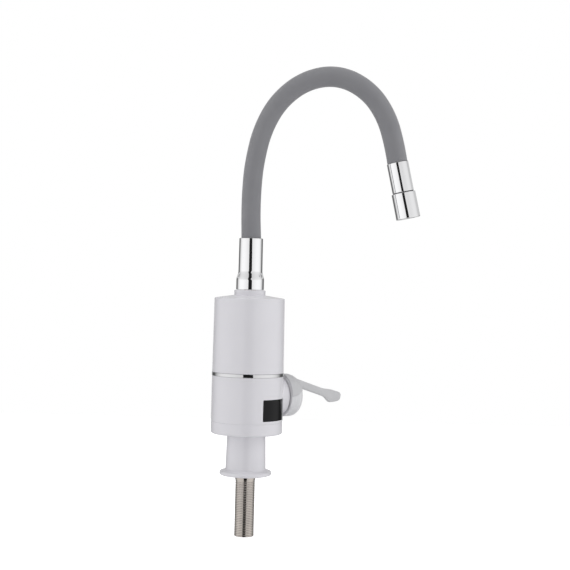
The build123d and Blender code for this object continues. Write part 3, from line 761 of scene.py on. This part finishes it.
class TAP_OT_housings(bpy.types.Operator):
    """Build the bottom cover, the two housings and the top collar"""

    bl_idname = "tap.housings"
    bl_label = "Housings"

    def execute(self, context):
        given = context.scene.tap_sizes
        self.bottom_cover(given)
        self.lower_housing(given)
        self.upper_housing(given)
        self.top_collar()
        return {"FINISHED"}

    def bottom_cover(self, given):
        radius = reach("bottom_cover")
        drop = 0.6 * MM
        seam_gap = 0.05 * MM
        lap_gap = 0.1 * MM
        hole = 10.6 * MM
        low = bottom("bottom_cover") - drop
        seam = bottom("lower_housing") - seam_gap
        lap_top = top("bottom_cover")
        lap = radius - given.wall - lap_gap
        inner = lap - given.wall / 2
        points = [
            (hole, low),
            (radius, low, given.cover_round),
            (radius, seam, SEAM_ROUND),
            (lap, seam),
            (lap, lap_top),
            (inner, lap_top),
            (inner, low + given.wall),
            (hole, low + given.wall),
        ]
        piece = lathe("bottom_cover_shell", points, steps=10)
        dress(piece, "tap_body", white_shell(), "bottom_cover", slot="white_shell")

    def lower_housing(self, given):
        low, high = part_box("lower_housing")
        radius = -low.x
        inner = radius - given.wall
        points = [
            (inner, low.z),
            (radius, low.z, SEAM_ROUND),
            (radius, high.z, 0.3 * MM),
            (inner, high.z),
        ]
        shell = lathe("lower_housing_shell", points, segments=FINE_SEGMENTS, steps=3)
        through = (inner - CUTTER_MARGIN, radius + CUTTER_MARGIN)
        boss_bore = BOSS_RADIUS - given.wall
        bore_start = 20 * MM
        bore_end = 50 * MM
        window = curved_panel("window_cutter", WINDOW_ANGLES, WINDOW_HEIGHTS, through, given.window_corner)
        socket = disc("boss_cutter", boss_bore, bore_start, bore_end, 0, handle_frame())
        cut(shell, window, socket, self.cord_cutter(radius, through))
        self.true_shading(shell, radius, inner)
        dress(shell, "tap_body", white_shell(), "lower_housing", slot="white_shell")
        boss_root = 30 * MM
        boss_points = [
            (boss_bore, boss_root + 2 * MM),
            (BOSS_RADIUS, boss_root),
            (BOSS_RADIUS, BOSS_FACE, 0.5 * MM),
            (boss_bore, BOSS_FACE, 0.3 * MM),
        ]
        boss = lathe("handle_boss", boss_points, handle_frame())
        dress(boss, "tap_body", white_shell(), slot="white_shell")

    def cord_cutter(self, radius, through):
        """The hole for the cord's grommet, at the back."""
        middle = math.radians(90)
        height = 67.3 * MM
        half_width = 9.5 * MM / 2
        half_height = 6.5 * MM / 2
        return curved_panel(
            "cord_cutter",
            (middle - half_width / radius, middle + half_width / radius),
            (height - half_height, height + half_height),
            through,
            0.8 * MM,
        )

    def true_shading(self, shell, outer, inner):
        """Gives the cut tube's round faces the directions of a true round wall."""
        mesh = shell.data
        mesh.shade_smooth()
        least_facing = 0.9
        wall_slack = 0.3 * MM
        normals = []
        for face in mesh.polygons:
            centre = face.center
            flat_reach = math.hypot(centre.x, centre.y)
            away = Vector((centre.x, centre.y, 0)).normalized()
            along = face.normal.dot(away)
            off_wall = min(abs(flat_reach - outer), abs(flat_reach - inner))
            is_round = abs(along) > least_facing and off_wall < wall_slack
            for index in face.vertices:
                place = mesh.vertices[index].co
                if is_round:
                    normals.append(Vector((place.x, place.y, 0)).normalized() * (1 if along > 0 else -1))
                else:
                    normals.append(face.normal.copy())
        mesh.normals_split_custom_set([tuple(n) for n in normals])

    def upper_housing(self, given):
        low = bottom("upper_housing")
        roof = top("upper_housing")
        foot_radius = reach("upper_housing")
        collar = reach("top_collar")
        rim_radius = 37.75 * MM
        rim = 190.3 * MM
        ceiling = roof - 5.5 * MM
        points = [
            (foot_radius - given.wall, low),
            (foot_radius, low, 0.3 * MM),
            (rim_radius, rim, 1.1 * MM),
            (collar, roof, 0.3 * MM),
            (HOUSING_NECK, roof),
            (HOUSING_NECK, ceiling),
            (rim_radius - given.wall, ceiling),
        ]
        piece = lathe("upper_housing_shell", points, steps=6)
        dress(piece, "tap_body", white_shell(), "upper_housing", slot="white_shell")

    def top_collar(self):
        low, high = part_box("top_collar")
        radius = reach("top_collar")
        points = [
            (HOUSING_NECK, low.z),
            (radius, low.z),
            (radius, high.z, 0.9 * MM),
            (HOUSING_NECK, high.z, 0.3 * MM),
        ]
        piece = lathe("collar", points)
        dress(piece, "tap_body", white_shell(), "top_collar", slot="white_shell")


class TAP_OT_trim_ring(bpy.types.Operator):
    """Build the chrome ring between the housings"""

    bl_idname = "tap.trim_ring"
    bl_label = "Trim ring"

    def execute(self, context):
        low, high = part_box("trim_ring")
        radius = reach("trim_ring")
        inner = radius - 3.75 * MM
        edge = 0.45 * MM
        points = [(inner, low.z), (radius, low.z, edge), (radius, high.z, edge), (inner, high.z)]
        piece = lathe("chrome_ring", points, segments=FINE_SEGMENTS)
        dress(piece, "tap_body", chrome("chrome_trim", colours().trim), "trim_ring", slot="chrome")
        return {"FINISHED"}


class TAP_OT_display(bpy.types.Operator):
    """Build the dark display window"""

    bl_idname = "tap.display"
    bl_label = "Display window"

    def execute(self, context):
        given = context.scene.tap_sizes
        radius = -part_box("lower_housing")[0].x
        gap = 0.1 * MM
        sunk = 0.2 * MM
        piece = curved_panel(
            "display_window",
            (WINDOW_ANGLES[0] + gap / radius, WINDOW_ANGLES[1] - gap / radius),
            (WINDOW_HEIGHTS[0] + gap, WINDOW_HEIGHTS[1] - gap),
            (radius - given.wall, radius - sunk),
            given.window_corner - gap,
        )
        dress(piece, "tap_body", display_black(), "display_lens", slot="display_black")
        return {"FINISHED"}


class TAP_OT_handle(bpy.types.Operator):
    """Build the handle: its hub, its cap, and the lever with its saddle, bar and pad"""

    bl_idname = "tap.handle"
    bl_label = "Handle"

    def execute(self, context):
        given = context.scene.tap_sizes
        self.hub(given)
        self.lever(given)
        return {"FINISHED"}

    def hub(self, given):
        spindle = 4.1 * MM
        recess = 5.1 * MM
        recess_floor = 58.2 * MM
        cap_radius = 5.0 * MM
        cap_back = 58.6 * MM
        points = [
            (spindle, HUB_BACK),
            (HUB_RADIUS, HUB_BACK, 0.6 * MM),
            (HUB_RADIUS, HUB_FRONT, given.hub_round),
            (recess, HUB_FRONT, 0.3 * MM),
            (recess, recess_floor),
            (spindle, recess_floor),
        ]
        piece = lathe("hub", points, handle_frame(), steps=16)
        dress(piece, "handle", white_hub(), "handle_hub", slot="white_lever")
        plug = disc("cap", cap_radius, cap_back, HUB_FRONT, 0.35 * MM, handle_frame())
        dress(plug, "handle", white_hub(), "screw_cap", slot="white_lever")

    def saddle(self, given):
        """The lever's half-round saddle on the hub, in the handle's frame, which narrows toward its nose."""
        bore = HUB_RADIUS - 0.8 * MM
        outer = 23.9 * MM
        back = HUB_BACK + 0.1 * MM
        nose = 61.6 * MM
        inside = HUB_FRONT - 0.6 * MM
        nose_bore = 8.5 * MM
        back_lift = 0.4 * MM
        nose_lift = 7 * MM
        points = [
            (bore, back),
            (outer, back, 0.5 * MM),
            (outer, 50.8 * MM, 9 * MM),
            (19.9 * MM, 59.2 * MM, 5 * MM),
            (14.5 * MM, nose, 3 * MM),
            (nose_bore, nose, 0.5 * MM),
            (nose_bore, inside),
            (HUB_RADIUS - 10 * MM, inside, 0.5 * MM),
            (bore, HUB_FRONT - 9 * MM, 4 * MM),
        ]
        edges = outline(points, 5)
        stations = 90
        vertices = []
        for station in range(stations + 1):
            for start, _, _, _ in edges:
                share = max(0.0, (start.y - back) / (nose - back))
                lift = back_lift + nose_lift * share**1.6
                half = min(given.saddle_half_angle, math.acos(min(1.0, lift / start.x)))
                angle = math.pi / 2 + half * (2 * station / stations - 1)
                vertices.append(Vector((start.x * math.cos(angle), start.x * math.sin(angle), start.y)))
        count = len(edges)
        faces = []
        for station in range(stations):
            row = station * count
            for index in range(count):
                following = (index + 1) % count
                faces.append((row + index, row + count + index, row + count + following, row + following))
        faces.append(tuple(range(count)))
        faces.append(tuple(stations * count + index for index in reversed(range(count))))
        return vertices, faces

    def blade(self):
        """The lever's upright bar and its paddle, in the handle's frame.

        The tables hold, in millimetres, a place along the handle's axis and the edge's height or the bar's
        thickness there. Each section is a rounded oblong.
        """
        upper_edge = [(54.5, 22.6), (58, 20.4), (61.1, 18.3), (64, 17.6), (75, 14.0), (96.5, 7.05)]
        upper_edge += [(101, 6.15), (105, 5.65), (109.4, 5.0), (115, 3.5), (119, 2.2), (121, 1.4)]
        upper_edge += [(122.2, 0.3), (122.7, -0.9)]
        lower_edge = [(54.5, 11.7), (64, 8.6), (75, 5.0), (96.5, -1.95), (99, -3.1), (101.6, -5.3)]
        lower_edge += [(104.4, -8.1), (107, -9.25), (110, -9.3), (116, -8.7), (119.6, -7.8), (121.2, -6.4)]
        lower_edge += [(122, -4.4), (122.7, -1.7)]
        thicknesses = [(54.5, 12.0), (60, 10.0), (64, 7.6), (68, 6.0), (74, 5.2), (96, 4.6), (104, 3.7)]
        thicknesses += [(110, 3.2), (119, 3.0), (121.6, 2.2), (122.7, 0.8)]
        ring = 40
        stations = 140
        crowding = 1.7
        flatness_across = 0.55
        flatness_upright = 0.5
        first = upper_edge[0][0]
        last = upper_edge[-1][0]
        vertices = []
        for station in range(stations + 1):
            reach_out = first + (last - first) * (1 - (1 - station / stations) ** crowding)
            top_height = smooth_between(upper_edge, reach_out)
            low_height = smooth_between(lower_edge, reach_out)
            half_thickness = smooth_between(thicknesses, reach_out) / 2
            middle = (top_height + low_height) / 2
            half_height = (top_height - low_height) / 2
            for corner in range(ring):
                angle = math.tau * corner / ring
                side = math.copysign(abs(math.cos(angle)) ** flatness_across, math.cos(angle))
                rise = math.copysign(abs(math.sin(angle)) ** flatness_upright, math.sin(angle))
                vertices.append(Vector((side * half_thickness, middle + rise * half_height, reach_out)) * MM)
        faces = []
        for station in range(stations):
            row = station * ring
            for corner in range(ring):
                beside = (corner + 1) % ring
                faces.append((row + corner, row + beside, row + ring + beside, row + ring + corner))
        faces.append(tuple(reversed(range(ring))))
        faces.append(tuple(stations * ring + corner for corner in range(ring)))
        return vertices, faces

    def lever(self, given):
        """Saddle and blade melted into one moulding, with soft inner corners."""
        place = handle_frame()
        vertices, faces = self.saddle(given)
        more, more_faces = self.blade()
        offset = len(vertices)
        vertices = [place @ v for v in vertices + more]
        faces = faces + [tuple(i + offset for i in face) for face in more_faces]
        piece = mesh_object("lever", vertices, faces)
        mesh = bmesh.new()
        mesh.from_mesh(piece.data)
        bmesh.ops.recalc_face_normals(mesh, faces=mesh.faces)
        mesh.to_mesh(piece.data)
        mesh.free()
        melt = piece.modifiers.new("melt", "REMESH")
        melt.mode = "VOXEL"
        melt.voxel_size = 0.45 * MM
        soften = piece.modifiers.new("soften", "SMOOTH")
        soften.factor = 0.5
        soften.iterations = 6
        built(piece)
        piece.data.shade_smooth()
        dress(piece, "handle", grey_lever(), "handle_lever", slot="grey_lever")


def smooth_between(table, place):
    """A value read from a short table of (place, value) rows by a smooth curve through them."""
    for index in range(len(table) - 1):
        if place <= table[index + 1][0]:
            break
    x0, y0 = table[index]
    x1, y1 = table[index + 1]
    before = table[index - 1] if index else table[0]
    after = table[index + 2] if index + 2 < len(table) else table[-1]
    start_slope = (y1 - before[1]) / (x1 - before[0])
    end_slope = (after[1] - y0) / (after[0] - x0)
    share = (place - x0) / (x1 - x0)
    width = x1 - x0
    return (
        y0 * (2 * share**3 - 3 * share**2 + 1)
        + start_slope * width * (share**3 - 2 * share**2 + share)
        + y1 * (3 * share**2 - 2 * share**3)
        + end_slope * width * (share**3 - share**2)
    )


# The neck: sections of one length, each an arc that turns by its own angle

SECTION_LENGTH = 34.4 * MM
SECTION_TURNS = (0, 3, 12, 14, 22, 28, 35, 30, 18, 5)
AERATOR_START = 33.4 * MM
SLEEVE_RADIUS = 10.6 * MM
SLEEVE_BORE = 8.0 * MM
HOSE_RADIUS = 4.6 * MM
HOSE_BORE = 3.5 * MM
NECK_LENGTH = len(SECTION_TURNS) * SECTION_LENGTH

# Millimetres along the neck, and there how far its middle leans into the arch or how its sleeve grows

NECK_LEAN = [(0, 0), (24, -0.9), (44, -1.0), (64, -0.7), (88, -0.15), (114, -0.65), (134, -0.9)]
NECK_LEAN += [(154, -0.75), (184, -0.4), (214, -0.1), (254, 0.5), (284, 0.25), (304, 0.45), (324, 1.0)]
NECK_LEAN += [(344, 1.9)]
NECK_GIRTH = [(0, 0), (24, -0.2), (104, -0.15), (174, 0), (224, 0.35), (284, 0.3), (344, 0.3)]
EVEN_GIRTH = [(0, 0), (344, 0)]


def along_neck(table, length):
    """A value, in metres, read from a neck table at a length from the neck's start."""
    return smooth_between(table, min(max(length, 0.0), NECK_LENGTH) / MM) * MM


def neck_point(length, start):
    """Place and direction of the neck's middle line at a length from its start."""
    place = start.copy()
    heading = 0.0
    left = length
    if left < 0:
        return place + Vector((0, 0, left)), Vector((0, 0, 1))
    for turn in SECTION_TURNS:
        run = min(left, SECTION_LENGTH)
        bend = math.radians(turn) * run / SECTION_LENGTH
        if bend:
            radius = run / bend
            place.x += radius * (math.cos(heading) - math.cos(heading + bend))
            place.z += radius * (math.sin(heading + bend) - math.sin(heading))
        else:
            place += Vector((math.sin(heading), 0, math.cos(heading))) * run
        heading += bend
        left -= run
        if left <= 0:
            break
    direction = Vector((math.sin(heading), 0, math.cos(heading)))
    aside = Vector((math.cos(heading), 0, -math.sin(heading)))
    lean = along_neck(NECK_LEAN, length)
    return place + direction * max(0.0, left) + aside * lean, direction


def neck_start():
    """The ferrule's mouth, where the neck leaves it."""
    return Vector((0, 0, top("base_ferrule")))


def neck_run(name, first, last, radius, bore, sides, girth):
    """A closed tube along the neck's middle line from one length to another, with its girth's table."""
    start = neck_start()
    step = 1.4 * MM
    rings = max(2, int((last - first) / step) + 1)
    vertices = []
    for ring in range(rings):
        length = first + (last - first) * ring / (rings - 1)
        place, direction = neck_point(length, start)
        across = Vector((0, 1, 0))
        up = direction.cross(across)
        for wall in (radius + along_neck(girth, length), bore):
            for side in range(sides):
                angle = math.tau * side / sides
                vertices.append(place + (across * math.cos(angle) + up * math.sin(angle)) * wall)
    faces = []
    for ring in range(rings - 1):
        row = ring * 2 * sides
        inner = row + sides
        on = 2 * sides
        for side in range(sides):
            beside = (side + 1) % sides
            faces.append((row + side, row + on + side, row + on + beside, row + beside))
            faces.append((inner + beside, inner + on + beside, inner + on + side, inner + side))
    end = (rings - 1) * 2 * sides
    for side in range(sides):
        beside = (side + 1) % sides
        faces.append((side, beside, sides + beside, sides + side))
        faces.append((end + side, end + sides + side, end + sides + beside, end + beside))
    piece = mesh_object(name, vertices, faces)
    piece.data.set_sharp_from_angle(angle=math.radians(40))
    return piece


class TAP_OT_neck(bpy.types.Operator):
    """Build the silicone sleeve and the water hose, each in lengths that reach across one joint between sections
    """

    bl_idname = "tap.neck"
    bl_label = "Bendable neck"

    def execute(self, context):
        sleeve_start = -17 * MM
        hose_start = -47.3 * MM
        hose_end = NECK_LENGTH + 16 * MM
        sleeve = (SLEEVE_RADIUS, SLEEVE_BORE, 64, NECK_GIRTH)
        hose = (HOSE_RADIUS, HOSE_BORE, 24, EVEN_GIRTH)
        self.bending_tube("sleeve", "silicone_sleeve", sleeve_start, NECK_LENGTH, sleeve, silicone())
        self.bending_tube("hose", "inner_hose", hose_start, hose_end, hose, inner_finish("hose_plastic"))
        return {"FINISHED"}

    def bending_tube(self, name, node, tube_start, tube_end, shape, material):
        """The tube in nine lengths, from the middle of one section to the middle of the next."""
        last_joint = len(SECTION_TURNS) - 1
        start = neck_start()
        ease = 4 * MM
        for joint in range(1, last_joint + 1):
            before = (joint - 0.5) * SECTION_LENGTH
            after = (joint + 0.5) * SECTION_LENGTH
            first = tube_start if joint == 1 else before
            last = tube_end if joint == last_joint else after
            piece = neck_run(f"{name}_{joint:02d}", first, last, *shape)
            dress(piece, None, material, node, slot=slot_of(node))
            bend_start, _ = neck_point(before + ease, start)
            bend_end, _ = neck_point(after - ease, start)
            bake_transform(piece)


def slot_of(node):
    """The record's material slot of a node."""
    for part in frame["record"]["subparts"]:
        if part["node"] == node:
            return part["material_slot"]
    raise ValueError(f"the record has no node {node}")


def outlet_frame():
    """Matrix of the neck's far end, with Z along the outlet."""
    extra_turn = math.radians(0.5)
    place, direction = neck_point(NECK_LENGTH, neck_start())
    across = Vector((0, 1, 0))
    direction.rotate(Matrix.Rotation(extra_turn, 3, "Y"))
    rotation = Matrix((across.cross(direction), across, direction)).transposed().to_4x4()
    return Matrix.Translation(place) @ rotation


class TAP_OT_ferrules(bpy.types.Operator):
    """Build the chrome ferrules at the two ends of the neck"""

    bl_idname = "tap.ferrules"
    bl_label = "Ferrules"

    def execute(self, context):
        given = context.scene.tap_sizes
        self.base_ferrule(given)
        self.outlet_ferrule()
        return {"FINISHED"}

    def base_ferrule(self, given):
        foot = 15.0 * MM
        waist = 13.0 * MM
        mouth = 12.8 * MM
        bore = SLEEVE_RADIUS + 0.1 * MM
        low = bottom("base_ferrule")
        flare = low + given.ferrule_foot_height
        high = top("base_ferrule") + 0.3 * MM
        points = [
            (bore, low),
            (foot, low, 0.5 * MM),
            (foot, flare, 12 * MM),
            (waist, flare + given.ferrule_flare, 13 * MM),
            (mouth, high, 0.5 * MM),
            (bore, high, 0.3 * MM),
        ]
        piece = lathe("spout_ferrule", points, steps=14)
        dress(piece, "spout_base", chrome(), "base_ferrule", slot="chrome")

    def outlet_ferrule(self):
        radius = 11.65 * MM
        spigot = 9.4 * MM
        bore = 7.7 * MM
        start = 0.3 * MM
        end = 32.5 * MM
        spigot_end = 40 * MM
        groove_shade_radius = radius - 0.5 * MM
        points = [
            (bore, spigot_end),
            (bore, start),
            (radius, start, 0.6 * MM),
            (radius, end, 0.4 * MM),
            (spigot, end),
            (spigot, spigot_end),
        ]
        piece = lathe("outlet_collar", points, outlet_frame())
        dress(piece, "neck_10", chrome(), "outlet_ferrule", slot="chrome")
        # Painted shade: a dark grey ring fills the groove between the collar and the aerator, in place of the
        # shadow in that gap
        corners = [(spigot, end), (groove_shade_radius, end), (groove_shade_radius, AERATOR_START), (spigot, AERATOR_START)]
        groove_shade = lathe("outlet_groove_shade", corners, outlet_frame())
        dress(groove_shade, "neck_10", rubbery("groove_shade_grey", (0.12, 0.12, 0.125)), slot="black_rubber")


class TAP_OT_aerator(bpy.types.Operator):
    """Build the aerator's chrome housing"""

    bl_idname = "tap.aerator"
    bl_label = "Aerator"

    def execute(self, context):
        end = 61.4 * MM
        inlet_radius = 12.95 * MM
        outlet_radius = 13.1 * MM
        lip = 8.4 * MM
        lip_start = end - 3 * MM
        inner = 9.5 * MM
        points = [
            (inner, lip_start),
            (inner, AERATOR_START),
            (inlet_radius, AERATOR_START, 0.5 * MM),
            (outlet_radius, end, 0.8 * MM),
            (lip, end, 0.6 * MM),
            (lip, lip_start),
        ]
        piece = lathe("aerator_shell", points, outlet_frame())
        dress(piece, "neck_10", chrome(), "aerator_housing", slot="chrome")
        return {"FINISHED"}


class TAP_OT_inner_parts(bpy.types.Operator):
    """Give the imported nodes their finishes"""

    bl_idname = "tap.inner_parts"
    bl_label = "Inner parts"

    def execute(self, context):
        for name, node in nodes.items():
            node.data.materials.clear()
            node.data.materials.append(inner_finish(slot_of(name)))
        return {"FINISHED"}


class TAP_OT_stage(bpy.types.Operator):
    """Set up the floor, the background, the lamps and the camera"""

    bl_idname = "tap.stage"
    bl_label = "Stage"

    def execute(self, context):
        scene = context.scene
        scene.view_settings.view_transform = "Standard"
        self.floor(bottom("inlet_shank"))
        self.background(scene)
        self.dark_screen()
        self.lamps()
        self.camera(scene)
        return {"FINISHED"}

    def floor(self, height):
        half = 1.1
        glow = 0.72
        corners = [(x * half, y * half, height) for x, y in ((-1, -1), (1, -1), (1, 1), (-1, 1))]
        piece = mesh_object("floor", corners, [(0, 1, 2, 3)], flat=True)
        material = bpy.data.materials.new("pale_floor")
        material.use_nodes = True
        tree = material.node_tree
        shader = tree.nodes["Principled BSDF"]
        darker = (0.90, 0.90, 0.91, 1)
        lighter = (0.93, 0.93, 0.93, 1)
        tone = add(tree, "ShaderNodeMix", data_type="RGBA", in_A=darker, in_B=lighter)
        tree.links.new(noise(tree, surface_place(tree), 60.0), tone.inputs["Factor"])
        tree.links.new(tone.outputs["Result"], shader.inputs["Base Color"])
        shader.inputs["Roughness"].default_value = 0.8
        shader.inputs["Emission Color"].default_value = (1, 1, 1, 1)
        path = tree.nodes.new("ShaderNodeLightPath")
        seen = math_node(tree, "MAXIMUM", self.to_the_eye(tree, path), path.outputs["Is Glossy Ray"])
        tree.links.new(math_node(tree, "MULTIPLY", seen, glow), shader.inputs["Emission Strength"])
        piece.data.materials.append(material)
        piece.visible_glossy = False

    def dark_screen(self):
        """The dark screen behind the camera, which only glossy surfaces show, as one upright stripe."""
        distance = 1.35
        rows = [(-0.6, -0.50, 0.57), (0.0, -0.31, 0.45), (0.25, -0.31, 0.385), (0.42, -0.42, 0.18)]
        rows += [(0.7, -0.42, 0.18), (0.95, -0.35, 0.38), (2.8, -0.35, 0.38)]
        corners = [(x, -distance, height) for height, left, right in rows for x in (left, right)]
        faces = [(i, i + 1, i + 3, i + 2) for i in range(0, len(corners) - 2, 2)]
        piece = mesh_object("dark_screen", corners, faces, flat=True)
        material = bpy.data.materials.new("dark_cloth")
        material.use_nodes = True
        shader = material.node_tree.nodes["Principled BSDF"]
        shader.inputs["Base Color"].default_value = (0.02, 0.02, 0.02, 1)
        shader.inputs["Roughness"].default_value = 1.0
        shader.inputs["Specular IOR Level"].default_value = 0.0
        piece.data.materials.append(material)
        piece.visible_camera = False
        piece.visible_diffuse = False
        piece.visible_transmission = False
        piece.visible_shadow = False

    def background(self, scene):
        """White to the eye, a studio with dark gaps to glossy surfaces, and a soft light for the rest.

        The levels go round from the front at 0 to the back at 1, and from straight down at 0 to up at 1.
        """
        world = bpy.data.worlds.new("studio")
        scene.world = world
        world.use_nodes = True
        tree = world.node_tree
        surface = tree.nodes["Background"]
        place = tree.nodes.new("ShaderNodeTexCoord")
        split = tree.nodes.new("ShaderNodeSeparateXYZ")
        tree.links.new(place.outputs["Generated"], split.inputs[0])
        sideways = math_node(tree, "ABSOLUTE", split.outputs["X"])
        forward = math_node(tree, "MULTIPLY", split.outputs["Y"], -1.0)
        angle = math_node(tree, "ARCTAN2", sideways, forward)
        round_about = [(0.0, 0.80), (0.145, 0.86), (0.22, 0.93), (0.33, 1.0), (0.45, 1.0), (0.52, 0.95)]
        round_about += [(0.58, 0.83), (0.633, 0.62), (0.67, 0.43), (0.70, 0.26), (0.725, 0.11)]
        round_about += [(0.845, 0.11), (0.88, 0.6), (1.0, 0.6)]
        up_down = [(0.0, 0.55), (0.1, 0.55), (0.25, 1.0), (0.51, 1.0), (0.6, 0.83), (0.8, 0.77)]
        up_down += [(0.9, 0.35), (1.0, 0.35)]
        gap_fill = [(0.0, 0.36), (0.42, 0.36), (0.455, 0.0), (0.55, 0.0), (0.58, 0.72), (0.63, 0.72)]
        gap_fill += [(0.65, 0.0), (1.0, 0.0)]
        height = math_node(tree, "MULTIPLY_ADD", split.outputs["Z"], 0.5, 0.5)
        level = self.levels(tree, round_about, math_node(tree, "DIVIDE", angle, math.pi))
        level = math_node(tree, "MAXIMUM", level, self.levels(tree, gap_fill, height))
        level = math_node(tree, "MULTIPLY", level, self.levels(tree, up_down, height))
        path = tree.nodes.new("ShaderNodeLightPath")
        soft = add(tree, "ShaderNodeMix", data_type="RGBA", in_A=(0.42, 0.42, 0.43, 1))
        tree.links.new(path.outputs["Is Glossy Ray"], soft.inputs["Factor"])
        tree.links.new(level, soft.inputs["B"])
        seen = add(tree, "ShaderNodeMix", data_type="RGBA", in_B=(1, 1, 1, 1))
        tree.links.new(self.to_the_eye(tree, path), seen.inputs["Factor"])
        tree.links.new(soft.outputs["Result"], seen.inputs["A"])
        tree.links.new(seen.outputs["Result"], surface.inputs["Color"])
        surface.inputs["Strength"].default_value = 1.0

    def to_the_eye(self, tree, path):
        """A mask of the rays from the camera, straight or through glass."""
        rays = path.outputs
        return math_node(tree, "MAXIMUM", rays["Is Camera Ray"], rays["Is Transmission Ray"])

    def levels(self, tree, stops, place):
        """A grey level read from stops along a place from 0 to 1."""
        ramp = tree.nodes.new("ShaderNodeValToRGB")
        elements = ramp.color_ramp.elements
        between = [elements.new(position) for position, _ in stops[1:-1]]
        for (position, level), element in zip(stops, [elements[0], *between, elements[-1]]):
            element.position = position
            element.color = (level, level, level, 1)
        tree.links.new(place, ramp.inputs["Fac"])
        return ramp.outputs["Color"]

    def lamps(self):
        target = Vector((0.03, 0, 0.2))
        for name, place, width, height, power in (
            ("left_panel", (-1.45, -0.55, 0.45), 1.4, 2.2, 11.2),
            ("right_panel", (1.45, -0.55, 0.45), 1.4, 2.2, 12.8),
            ("top_panel", (0.0, -0.2, 1.7), 1.4, 1.4, 7.4),
        ):
            lamp = bpy.data.lights.new(name, "AREA")
            lamp.shape = "RECTANGLE"
            lamp.size = width
            lamp.size_y = height
            lamp.energy = power
            holder = bpy.data.objects.new(name, lamp)
            bpy.context.scene.collection.objects.link(holder)
            holder.visible_glossy = False
            holder.location = place
            holder.rotation_mode = "QUATERNION"
            holder.rotation_quaternion = (target - Vector(place)).to_track_quat("-Z", "Y")

    def camera(self, scene):
        """The photograph's view: level, from the front, with a slight roll."""
        focal_pixels = 1200.0
        frame_pixels = 570.0
        eye = (37.5 * MM, -1290 * MM, 205.3 * MM)
        tilt = math.radians(1.44)
        data = bpy.data.cameras.new("camera")
        data.sensor_width = 36.0
        data.lens = data.sensor_width * focal_pixels / frame_pixels
        data.clip_start = 0.05
        data.clip_end = 50.0
        camera = bpy.data.objects.new("camera", data)
        scene.collection.objects.link(camera)
        level = Matrix.Rotation(math.radians(90), 4, "X")
        roll = Matrix.Rotation(tilt, 4, "Z")
        camera.matrix_world = Matrix.Translation(eye) @ level @ roll
        scene.camera = camera


STEPS = (
    TAP_OT_inlet_shank,
    TAP_OT_foot,
    TAP_OT_housings,
    TAP_OT_trim_ring,
    TAP_OT_display,
    TAP_OT_handle,
    TAP_OT_neck,
    TAP_OT_ferrules,
    TAP_OT_aerator,
    TAP_OT_inner_parts,
    TAP_OT_stage,
)


class TAP_PT_panel(bpy.types.Panel):
    """Sizes, colours and steps of the tap"""

    bl_idname = "TAP_PT_panel"
    bl_label = "Water heater tap"
    bl_space_type = "VIEW_3D"
    bl_region_type = "UI"
    bl_category = "Tap"

    def draw(self, context):
        for step in STEPS:
            self.layout.operator(step.bl_idname)
        for group in (context.scene.tap_sizes, context.scene.tap_colours):
            box = self.layout.box()
            for name in group.__annotations__:
                box.prop(group, name)


CLASSES = (TapSizes, TapColours, *STEPS, TAP_PT_panel)


def register():
    for each in CLASSES:
        bpy.utils.register_class(each)
    bpy.types.Scene.tap_sizes = PointerProperty(type=TapSizes)
    bpy.types.Scene.tap_colours = PointerProperty(type=TapColours)


def unregister():
    del bpy.types.Scene.tap_colours
    del bpy.types.Scene.tap_sizes
    for each in reversed(CLASSES):
        bpy.utils.unregister_class(each)


def main():
    register()
    for step in STEPS:
        group, name = step.bl_idname.split(".")
        getattr(getattr(bpy.ops, group), name)()


if __name__ == "__main__":
    main()
